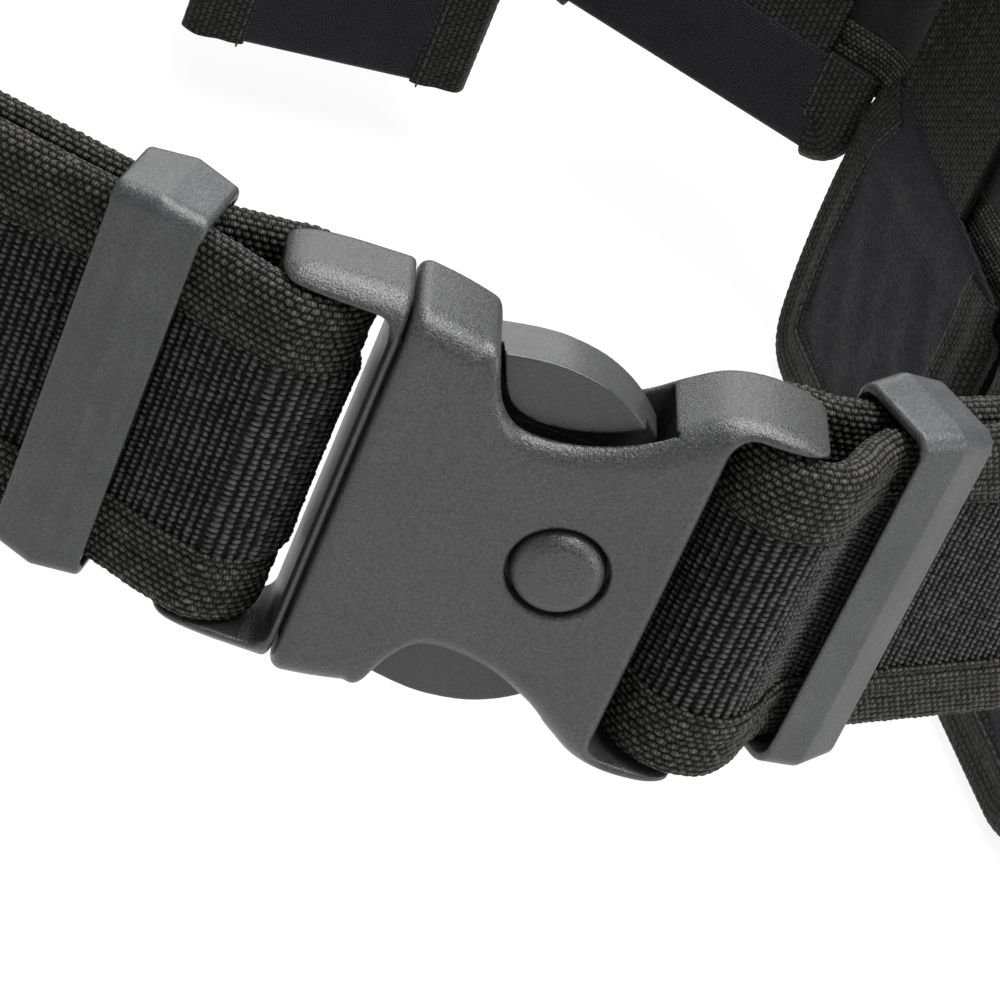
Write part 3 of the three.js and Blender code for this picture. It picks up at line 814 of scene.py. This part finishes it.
def yarn_height(across, along, width, length, row_power=0.6, yarn_power=0.6, uneven=0.0):
    """Brick-laid yarn bumps, 0 to 1, in rows of that width. uneven lowers some by up to that share."""
    row = across / width
    turn = along / length + 0.5 * (np.floor(row) % 2)
    bump = abs(np.sin(math.pi * row)) ** row_power * abs(np.sin(math.pi * turn)) ** yarn_power
    scatter = np.sin(np.floor(row) * 12.9898 + np.floor(turn) * 78.233) * 43758.5453
    return bump * (1 - uneven * (scatter - np.floor(scatter)))


def groove(value, centre, half):
    """1 on a line, falling to 0 at half a width from it."""
    return np.clip(1 - ((value - centre) / half) ** 2, 0, 1)


def webbing(prefix, route, cover, tapes, body, bar=None):
    """The ribbed cover with the stiffener in it, the lining on its back and the two edge tapes. cover and
    tapes are the distances along the route between which each one's yarns stand up. bar is where the cover
    stands out further round the bar that it folds over."""
    coarser = 1.0
    skin, half_height = BELT["skin"], BELT["core_half_height"]
    made = []

    def strip(node, at, profile, height, finish, replaced, across=None):
        centres, outward = frames(route, at)
        points, faces = loft(centres, outward, UP, profile, height)
        uv = None if across is None else weave_uv(at, across)
        made.append(piece(node, points, faces, finish, body, replaced, uv))

    at, share = stations(route, 0.2 * coarser, 3.0, *cover)
    half_seen = 16.2
    z = np.arange(-half_seen, half_seen, 0.225 * coarser)
    z = np.concatenate([[-half_height], z, [half_seen, half_height]])
    front = np.stack([np.full(len(z), skin), z], 1)
    profile = np.vstack([front, [(0.02, half_height), (0.02, -half_height)]])
    ribs = yarn_height(at[:, None], z[None], *RIBS, *RIB_POWERS, 0.2)
    lines = groove(abs(z), 7.6, 0.5)
    sag = 0.25 * np.clip(1 - (z / 15.5) ** 2, 0, 1)
    height = share[:, None] * (0.6 * (ribs - 0.65) - 0.15 * lines) - sag
    if bar is not None:
        near_bar = np.exp(-((at - bar) / 9.0) ** 2)[:, None]
        height += 1.7 * near_bar * np.clip((17.5 - abs(z)) / 3, 0, 1)
    across = np.concatenate([z, [half_height + 2, -half_height - 2]])
    replaced = [f"{prefix}_cover", f"{prefix}_core"]
    strip(f"{prefix}_cover", at, profile, height, rib_cloth, replaced, across)

    at, _ = stations(route, 1.0, 1.5, *cover)
    z = np.linspace(half_height, -half_height, 50)
    back = np.stack([np.full(len(z), -skin), z], 1)
    profile = np.vstack([back, [(-0.02, -half_height), (-0.02, half_height)]])
    height = np.random.default_rng(3).uniform(-0.12, 0.2, (len(at), len(z)))
    node = f"{prefix}_lining"
    strip(node, at, profile, height, lining, [node])

    outer, inner = tape_profile(0.25 * coarser)
    around = distances(outer)
    at, share = stations(route, 0.27 * coarser, 2.0, *tapes)
    bumps = yarn_height(around[None], at[:, None], *BASKET, *BASKET_POWERS, 0.35)
    height = share[:, None] * 0.42 * (bumps - 0.6)
    across = np.concatenate([around, np.full(len(inner), around[-1] + 3)])
    for side, label in ((1, "top"), (-1, "bottom")):
        node = f"{prefix}_{label}_tape"
        profile = np.vstack([outer, inner]) * [1, side]
        strip(node, at, profile, height, tape_cloth, [node], across)
    return made


def tape_profile(step):
    """The edge tape's section: its puffed outside, with a crease along the middle of each face, and its
    inside, which fits over the webbing's edge."""
    low = BELT["half_width"] - BELT["tape_reach"]
    face = [
        (1.95, 0), (2.5, 0.35), (2.55, 0.8), (2.3, 1.25), (2.68, 2.4), (2.6, 4.0), (2.42, 5.2), (2.68, 6.8),
        (2.5, 9.8), (1.65, 11.2), (0.0, 11.8),
    ]
    face += [(-d, z) for d, z in face[-2::-1]]
    outer = smooth_line([(d, low + z) for d, z in face], step)
    skin, edge = BELT["skin"] + 0.05, BELT["core_half_height"] + 0.1
    inner = np.array([(-skin, low + 0.1), (-skin, edge), (skin, edge), (skin, low + 0.1)])
    return outer, inner


def add_hook_strip(name, line, start, end, body):
    """The strip of stiff hooks, set in rows, that holds a folded end against the belt."""
    half_height, middle, half = 14.0, BELT["tail"] / 2, 1.0
    at = np.arange(start, end + 0.01, 0.5)
    centres = np.array([[*on_line(line, t, middle), 0.0] for t in at])
    angle = math.radians(line["angle"])
    inward = np.array([-math.sin(angle), math.cos(angle), 0.0])
    z = np.linspace(-half_height, half_height, 80)
    across = np.concatenate([z, z[::-1]])
    profile = np.stack([np.repeat([-half, half], len(z)), across], 1)
    hooks = yarn_height(z[None], at[:, None], 1.1, 1.3)
    ends = np.clip(np.minimum(at - start, end - at) / 0.5, 0, 1)[:, None]
    height = np.hstack([hooks, hooks[:, ::-1]]) * 0.45 * ends - 0.3 * (1 - ends)
    points, faces = loft(centres, inward, UP, profile, height)
    piece(name, points, faces, hook_cloth, body, [name], weave_uv(at, across))


def add_webbing():
    route = belt_route()
    near = route.marks["front"] + NEAR
    webbing("belt", route, (route.marks["fold"] + 12, near), (0.0, near), "belt")
    route = strap_route()
    front, fold, tail = (route.marks[name] for name in ("front", "fold", "tail"))
    for obj in webbing("strap", route, (front, tail - 8), (front, route.length()), None, (fold + tail) / 2):
        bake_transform(obj)
    add_hook_strip("belt_hook_strip", RIGHT_LINE, 9, 30, "belt")
    add_hook_strip("strap_hook_strip", LEFT_LINE, -40, -10, "plug")


add_webbing()


# ---------------------------------------------------------------- pouches

def row_ends(outline, b):
    """Where a row across a flat outline starts and ends."""
    following = np.roll(outline, -1, 0)
    crossing = (outline[:, 1] > b) != (following[:, 1] > b)
    p, q = outline[crossing], following[crossing]
    a = p[:, 0] + (b - p[:, 1]) / (q[:, 1] - p[:, 1]) * (q[:, 0] - p[:, 0])
    return a.min(), a.max()


def padded_sheet(outline, thickness, crown, mapping, waves, step):
    """A closed, crowned sheet over a flat outline. mapping(a, b, h) places its points."""
    low, high = outline[:, 1].min(), outline[:, 1].max()
    middle = np.arange(low + 1.2, high - 1.2, step)
    rows = np.concatenate([[low + 0.02, low + 0.3], middle, [high - 0.3, high - 0.02]])
    ends = np.array([row_ends(outline, b) for b in rows])
    count = int(np.ptp(outline[:, 0]) / step)
    share = np.linspace(0, 1, count)
    a = ends[:, :1] + (ends[:, 1:] - ends[:, :1]) * share
    b = np.repeat(rows[:, None], count, 1)
    depth = -outline_distance(a, b, outline)
    full = thickness / 2 * np.sqrt(1 - np.clip(1 - depth / (thickness / 2), 0, 1) ** 2)
    swell = crown * (1 - np.exp(-np.maximum(depth, 0) / 9.0))
    front = full + swell + np.clip(depth / 12, 0, 1) * waves(a, b)
    a, b = np.hstack([a, a[:, ::-1]]), np.hstack([b, b[:, ::-1]])
    return *closed(mapping(a, b, np.hstack([front, -full[:, ::-1]]))), np.stack([a, b], 2)


def bound_edge(path, thickness, width, mapping):
    """Binding tape folded over a sheet's edge. The path runs so that the sheet lies on its left."""
    path = even_line(path, 0.7)
    out = right_of(directions(path))
    half = thickness / 2
    face = [
        (-width, half + 0.15), (-width + 0.7, half + 0.9), (-width * 0.72, half + 1.15),
        (-width * 0.5, half + 0.75), (-width * 0.25, half + 1.1), (-0.6, half + 0.8), (1.2, half * 0.5),
    ]
    outer = smooth_line([*face, (1.6, 0.0), *[(u, -v) for u, v in face[::-1]]], 0.6)
    far = 0.2 - width
    inner = np.array([(far, 0.2 - half), (-0.2, 0.3 - half), (-0.2, half - 0.3), (far, half - 0.2)])
    profile = np.vstack([outer, inner])
    around = np.concatenate([distances(outer), np.full(len(inner), 90.0)])
    along = distances(path)
    ends = np.clip(from_end(path) / 4 - 0.25, 0, 1)[:, None]
    bumps = yarn_height(around[None, :len(outer)], along[:, None], 1.3, 2.0)
    swell = np.pad(0.3 * ends * (bumps - 0.6), ((0, 0), (0, len(inner))))
    spread = unit(profile - [-width / 2, 0.0])
    u = profile[:, 0] + swell * spread[:, 0] * 0.2
    v = profile[:, 1] + swell * np.sign(profile[:, 1])
    grid = mapping(path[:, :1] + u * out[:, :1], path[:, 1:] + u * out[:, 1:], v)
    return *closed(grid), weave_uv(along, around)


def stitch_row(path, lift, mapping):
    """Separate stitches, each a small spindle of thread lying along a flat path."""
    pitch, half_length, radius = 2.6, 0.85, 0.3
    path = even_line(path, pitch)
    ahead = directions(path)
    across = right_of(ahead)
    turn = np.linspace(0, 2 * math.pi, 6, endpoint=False)
    spindle = ((-1, 0.25), (-0.5, 0.85), (0, 1), (0.5, 0.85), (1, 0.25))
    rows = np.array([
        (t * half_length, w * radius * math.cos(c), w * radius * math.sin(c))
        for t, w in spindle for c in turn
    ])
    a = path[:, :1] + rows[:, 0] * ahead[:, :1] + rows[:, 1] * across[:, :1]
    b = path[:, 1:] + rows[:, 0] * ahead[:, 1:] + rows[:, 1] * across[:, 1:]
    points = mapping(a, b, np.broadcast_to(lift + rows[:, 2], a.shape)).reshape(-1, 3)
    single = tube_faces(len(spindle), len(turn))
    faces = [[i + k * len(rows) for i in f] for k in range(len(path)) for f in single]
    return points, faces


def bound_sheet(name, host, replaced, path, edges, size, mapping, waves, place):
    """A padded sheet, the binding along the edges given, and a row of stitches on both faces."""
    thickness, width = size["thickness"], size["binding"]
    points, faces, uv = padded_sheet(path, thickness, size["crown"], mapping, waves, size["step"])
    sheet = piece(name, points, faces, oxford, host, replaced, uv, place)
    parts = [bound_edge(edge, thickness, width, mapping) for edge in edges]
    points, faces = joined([part[:2] for part in parts])
    uv = np.vstack([part[2].reshape(-1, 2) for part in parts])
    piece(f"{name}_binding", points, faces, binding_cloth, host, (), uv, place)
    rows = []
    for edge in edges:
        seam = inset(even_line(edge, 1.0), size["seam"])
        rows += [stitch_row(seam, side * (thickness / 2 + 1.0), mapping) for side in (1, -1)]
    points, faces = joined(rows)
    piece(f"{name}_stitches", points, faces, stitching, host, (), None, place)


def joined(parts):
    """Several (points, faces) as one."""
    points, faces, start = [], [], 0
    for more, their in parts:
        points.append(more)
        faces += [[i + start for i in f] for f in their]
        start += len(more)
    return np.vstack(points), faces


def u_path(a0, a1, top, bottom, radius):
    """Down the left edge, round the bottom and up the right edge."""
    turn = np.linspace(0, math.pi / 2, 12)
    left = [(a0 + radius - radius * math.cos(t), bottom + radius - radius * math.sin(t)) for t in turn]
    right = [(a1 - radius + radius * math.sin(t), bottom + radius - radius * math.cos(t)) for t in turn]
    return np.array([(a0, top), *left, *right, (a1, top)])


def inset(path, distance):
    """The path moved to its left, towards the sheet."""
    return path - distance * right_of(directions(path))


def gentle_waves(seed, size):
    """A smooth unevenness, the same each time for the same seed."""
    rng = np.random.default_rng(seed)
    turns = rng.uniform(0, 2 * math.pi, (4, 2))
    spans = rng.uniform(14, 30, (4, 2))

    def waves(a, b):
        total = 0
        for (t, s), (p, q) in zip(turns, spans):
            total = total + np.sin(a * 6 / p + t) * np.sin(b * 6 / q + s)
        return size * total / 2

    return waves


def panel_outline(spec):
    """The back panel's edge, from its top left round to its top right."""
    left, right = spec["panel"]
    if spec["name"] == "tool_holster":
        return smooth_line([
            (67.4, -24), (66.8, -38), (66.8, -56), (67.8, -70), (71.6, -79), (80, -83), (98, -83.6),
            (118, -83.4), (131, -82.6), (138, -78), (141.5, -68), (143.6, -54), (144.2, -40),
            (142.5, -27), (136, -16),
        ], 1.0)
    top, lift, radius = {
        "key_pouch": (PANEL_TOP, 0.5, 4), "wide_pouch": (-22.5, 2.4, 8),
    }.get(spec["name"], (PANEL_TOP, 2.4, 13.5))
    return u_path(left, right, top, spec["bottom"] + lift, radius)


def panel_edges(spec, path):
    """The parts of a panel's edge that are bound: the sides alone on the key pouch, the sides and corners on
    the wide pouch, and all of it on the others."""
    if spec["name"] == "key_pouch":
        side = np.array([PANEL_TOP, spec["bottom"] + 1.0])
        return [np.stack([np.full(2, x), z], 1) for x, z in ((path[0, 0], side), (path[-1, 0], side[::-1]))]
    if spec["name"] == "wide_pouch":
        from_middle = path[:, 0] - path[:, 0].mean()
        outer = abs(from_middle) > np.ptp(path[:, 0]) / 2 - 9
        return [path[outer & (from_middle < 0)], path[outer & (from_middle > 0)]]
    return [path]


def panel_mapping(a, b, h):
    """Behind the body below the belt, and thinner behind the belt itself."""
    rise = np.clip((b + 34) / 6, 0, 1)
    rise = rise * rise * (3 - 2 * rise)
    y = (2.3 + 2.3 * rise) + h * (1 - 0.55 * rise)
    return np.stack(np.broadcast_arrays(a, y, b), -1)


def add_panel(spec, place, host):
    path = panel_outline(spec)
    waves = gentle_waves(len(spec["name"]), 0.35)
    edges = panel_edges(spec, path)
    bound_sheet(f"{spec['name']}_panel", host, (), path, edges, PANEL, panel_mapping, waves, place)


def add_loop(spec, place, host):
    """The band that the belt runs through, with a line of stitching near both of its edges."""
    start, end = spec["loop"]
    half, thick, step = LOOP["half_depth"], LOOP["half_thickness"], 0.8
    path = rounded_box(-half, half, LOOP["low"], LOOP["high"], [LOOP["corner"]] * 4, 7, step)
    zero = np.zeros((len(path), 1))
    out = np.hstack([zero, right_of(directions(path, closed=True))])
    x = np.arange(start + step, end - step + 0.1, step)
    outer = np.stack([np.full(len(x), thick), x], 1)
    edge, bevel = 0.6, 0.15
    profile = np.vstack([
        [(edge, start + bevel)], outer, [(edge, end - bevel), (-edge, end - bevel)],
        [(-thick, end - step), (-thick, start + step), (-edge, start + bevel)],
    ])
    along = step * np.arange(len(path))
    borders = groove(np.minimum(x - start, end - x), 3.2, 0.8)
    height = 0.22 * (yarn_height(x[None], along[:, None], 1.9, 2.4) - 0.5) - 0.25 * borders
    height = np.pad(height, ((0, 0), (1, 0)))
    points, faces = loft(np.hstack([zero, path]), out, RIGHT, profile, height, ring=True)
    across = np.concatenate([[start], x, [end, end + 1, end + 1, end + 1, end + 1]])
    node = f"{spec['name']}_loop"
    uv = weave_uv(along, across)
    piece(node, points, faces, binding_cloth, host, [node], uv, place)


def add_body(spec, place, host):
    """The pocket, full in the middle of each side, flatter under the flap and reaching back below the
    belt."""
    name, bottom, wall, floor = spec["name"], spec["bottom"], 2.2, 3.0
    x0, x1 = spec["body"]
    y0, y1 = -POUCH_BACK - spec["depth"], -POUCH_BACK
    path = rounded_box(x0, x1, y0, y1, (7.5, 3, 3, 7.5), 9, 1.6)
    normal = right_of(directions(path, closed=True))
    rounding = 5.0
    turn = np.radians(np.linspace(0, 90, 7))
    rows = [(rounding * (1 - math.sin(t)), bottom + rounding * (1 - math.cos(t))) for t in turn]
    straight = np.arange(bottom + rounding + 2, POUCH_TOP - 1, 2.2)
    rows += [(0.0, z) for z in straight]
    rows += [(0.0, POUCH_TOP - 1.0), (0.35, POUCH_TOP - 0.3), (1.1, POUCH_TOP), (1.85, POUCH_TOP - 0.3)]
    rows += [(wall, z) for z in np.arange(POUCH_TOP - 1.0, bottom + floor, -4.0)]
    rows.append((wall, bottom + floor))
    waves = gentle_waves(len(name) + 40, 0.5)
    wide = (path[:, 0] - (x0 + x1) / 2) / ((x1 - x0) / 2)
    deep = (path[:, 1] - (y0 + y1) / 2) / ((y1 - y0) / 2)
    front = np.clip(-normal[:, 1], 0, 1) * (1 - wide ** 2)
    sides = np.abs(normal[:, 0]) * (1 - np.clip(abs(deep), 0, 1) ** 2)
    at_back = np.clip(normal[:, 1], 0, 1) * (abs(wide) < 0.93)
    grid = []
    for inward, z in rows:
        share = (z - bottom) / (POUCH_TOP - bottom)
        fuller = math.sin(math.pi * min(max(share, 0), 1)) ** 0.8
        under_flap = min(max((share - 0.45) / 0.2, 0), 1)
        front_swell, side_swell = 3.2 - 2.4 * under_flap, 1.6 - 1.0 * under_flap
        swell = fuller * (front * front_swell + sides * side_swell)
        swell = swell + fuller * (front + sides) * waves(path[:, 0] * 1.3, z)
        below_belt = min(max((-31 - z) / 3, 0), 1)
        swell = swell + 4.6 * below_belt * at_back
        ring = path + normal * (swell - inward)[:, None]
        grid.append(np.column_stack([ring, np.full(len(ring), z)]))
    points, faces = closed(np.array(grid))
    heights = np.array([z for _, z in rows])
    uv = weave_uv(heights, distances(path))[:, :, ::-1]
    body = piece(f"{name}_body", points, faces, oxford, host, [f"{name}_body"], uv, place)
    add_seam(spec, place, host, y0)


def add_seam(spec, place, host, front):
    """The bound seam that stands out round the front face, and the stitches beside it."""
    name = spec["name"]
    x0, x1 = spec["body"]
    covered = spec["cover"][0] <= x0 + 4
    top = POUCH_TOP - spec["drop"] - 2.5 if covered else POUCH_TOP - 1.5
    path = even_line(u_path(x0 + 3.4, x1 - 3.4, top, spec["bottom"] + 3.2, 8), 0.7)
    sideways = right_of(directions(path))
    centres = np.insert(path, 1, front - 0.7, axis=1)
    out = np.insert(sideways, 1, 0.0, axis=1)
    ends = np.clip(from_end(path) / 6, 0.35, 1)[:, None]
    turn = np.linspace(0, 2 * math.pi, 22, endpoint=False)
    profile = np.stack([1.35 * np.cos(turn), 3.0 * np.sin(turn)], 1)
    around, along = distances(profile), distances(path)
    height = 0.26 * (yarn_height(around[None], along[:, None], 1.2, 1.9) - 0.6) + (ends - 1) * 1.2
    points, faces = loft(centres, out, FORWARD, profile, height)
    uv = weave_uv(along, around)
    piece(f"{name}_seam", points, faces, binding_cloth, host, (), uv, place)


def flap_route(spec):
    """The flap's middle line, from its hinge over the top and down the front, in y and z."""
    front = -POUCH_BACK - spec["depth"] - 3.4
    top, radius = 31.6, 6.0
    low = POUCH_TOP - spec["drop"]
    turn = np.linspace(0, math.pi / 2, 14)
    bend = [(front + radius - radius * math.sin(t), top - radius + radius * math.cos(t)) for t in turn]
    return even_line(np.array([(-POUCH_BACK + 0.6, top), *bend, (front, low)]), 0.5)


def flap_mapping(spec):
    """What carries flat lengths onto the flap's bent shape, and the flap's length."""
    route = flap_route(spec)
    lengths = distances(route)
    normal = right_of(directions(route))

    def mapping(a, b, h):
        a, b, h = np.broadcast_arrays(a, b, h)
        y, z, ny, nz = (np.interp(b, lengths, values) for values in (*route.T, *normal.T))
        over = np.maximum(b - lengths[-1], 0)
        return np.stack([a, y + ny * h, z + nz * h - over], -1)

    return mapping, lengths[-1]


def add_flap(spec, place):
    name = f"{spec['name']}_flap"
    mapping, length = flap_mapping(spec)
    a0, a1 = spec["cover"]
    radius = 10.0 if a1 - a0 > 40 else 7.0
    path = (u_path(a0, a1, 0.0, -length, radius) * [1, -1])[::-1]
    waves = gentle_waves(len(spec["name"]) + 7, 0.3)
    bound_sheet(name, name, [name], path, [path], FLAP, mapping, waves, place)


def revolved(profile):
    """A turned shape from (radius, height) points that start and end on the axis."""
    turn = np.linspace(0, 2 * math.pi, 40, endpoint=False)
    return closed(np.array([[(r * math.cos(t), -h, r * math.sin(t)) for t in turn] for r, h in profile]))


def add_snap(spec, place, host):
    """A snap fastener: a domed cap with a rolled rim on the flap, and its stud on the body."""
    name = spec["name"]
    x = sum(spec["cover"]) / 2
    z = POUCH_TOP - spec["drop"] + 12
    wall = -POUCH_BACK - spec["depth"]
    face = wall - 2 - 2.4 - 0.9
    cap = smooth_line([
        (0.05, -0.6), (6.2, -0.6), (6.7, 0.2), (6.4, 1.1), (5.7, 1.35), (5.1, 1.0), (4.4, 1.3), (2.6, 2.0),
        (0.05, 2.3),
    ], 0.25)
    stud = smooth_line([
        (0.05, -0.4), (4.8, -0.4), (5.1, 0.1), (4.6, 0.5), (2.6, 0.6), (2.3, 1.2), (1.6, 1.5), (0.05, 1.5),
    ], 0.25)
    for part, profile, y, body in (("cap", cap, face, f"{name}_flap"), ("stud", stud, wall - 0.6, host)):
        points, faces = revolved(profile)
        node = f"{name}_snap_{part}"
        piece(node, points + [x, y, z], faces, snap_enamel, body, [node], None, place)


def add_pouch(spec):
    place, host = (spec["x"], spec["y"], spec["heading"]), spec["host"]
    add_loop(spec, place, host)
    add_panel(spec, place, host)
    add_body(spec, place, host)
    add_flap(spec, place)
    add_snap(spec, place, host)


for spec in POUCHES:
    add_pouch(spec)


# ---------------------------------------------------------------- camera, floor and light

def put(obj, right, up, away, place):
    """Link an object, its x, y and z axes along right, up and away."""
    matrix = np.eye(4)
    matrix[:3] = np.stack([right, up, away, place], 1)
    obj.matrix_world = Matrix(matrix.tolist())
    bpy.context.scene.collection.objects.link(obj)


def add_camera():
    azimuth, elevation, roll = (math.radians(CAMERA[k]) for k in ("azimuth", "elevation", "roll"))
    level = math.cos(elevation)
    away = np.array([math.sin(azimuth) * level, -math.cos(azimuth) * level, math.sin(elevation)])
    up = unit(UP - math.sin(elevation) * away)
    right = np.cross(up, away)
    turned_up = math.cos(roll) * up - math.sin(roll) * right
    turned_right = math.cos(roll) * right + math.sin(roll) * up
    data = bpy.data.cameras.new("camera")
    data.lens = CAMERA["lens"]
    data.sensor_width = 36
    data.clip_start = 0.01
    camera = bpy.data.objects.new("camera", data)
    place = origin + (CAMERA_TARGET + away * CAMERA["distance"]) * MM
    put(camera, turned_right, turned_up, away, place)
    bpy.context.scene.camera = camera


def add_floor():
    grey, white = (0.1, 0.1, 0.1, 1), (1, 1, 1, 1)
    f = Finish("pale_floor", Roughness=0.8, Base_Color=grey, Emission_Color=white, Emission_Strength=0.91)
    half = 6.0
    corners = [(-half, -half, 0), (half, -half, 0), (half, half, 0), (-half, half, 0)]
    mesh = bpy.data.meshes.new("floor")
    mesh.from_pydata(corners, [], [(0, 1, 2, 3)])
    mesh.materials.append(f.material)
    floor = bpy.data.objects.new("floor", mesh)
    bpy.context.scene.collection.objects.link(floor)


def softbox(name, place, target, size, power):
    """A rectangular lamp at a place, facing the target."""
    data = bpy.data.lights.new(name, "AREA")
    data.shape = "RECTANGLE"
    data.size, data.size_y = size
    data.energy = power
    away = unit(np.array(place) - np.array(target))
    side = unit(np.cross(UP, away))
    put(bpy.data.objects.new(name, data), side, np.cross(away, side), away, place)


def add_light():
    world = bpy.data.worlds.new("studio")
    world.use_nodes = True
    background = world.node_tree.nodes["Background"]
    background.inputs["Color"].default_value = (1, 1, 1, 1)
    background.inputs["Strength"].default_value = 0.34
    bpy.context.scene.world = world
    bpy.context.scene.view_settings.view_transform = "Standard"
    softbox("top_softbox", (0.06, -0.1, 1.0), (0, -0.15, 0.1), (1.15, 0.45), 16.5)
    softbox("back_softbox", (-0.2, 1.3, 0.85), (0, -0.1, 0.1), (1.3, 0.7), 7)
    softbox("right_softbox", (0.95, -0.45, 0.45), (0.05, -0.16, 0.06), (0.5, 0.5), 4)


add_camera()
add_floor()
add_light()
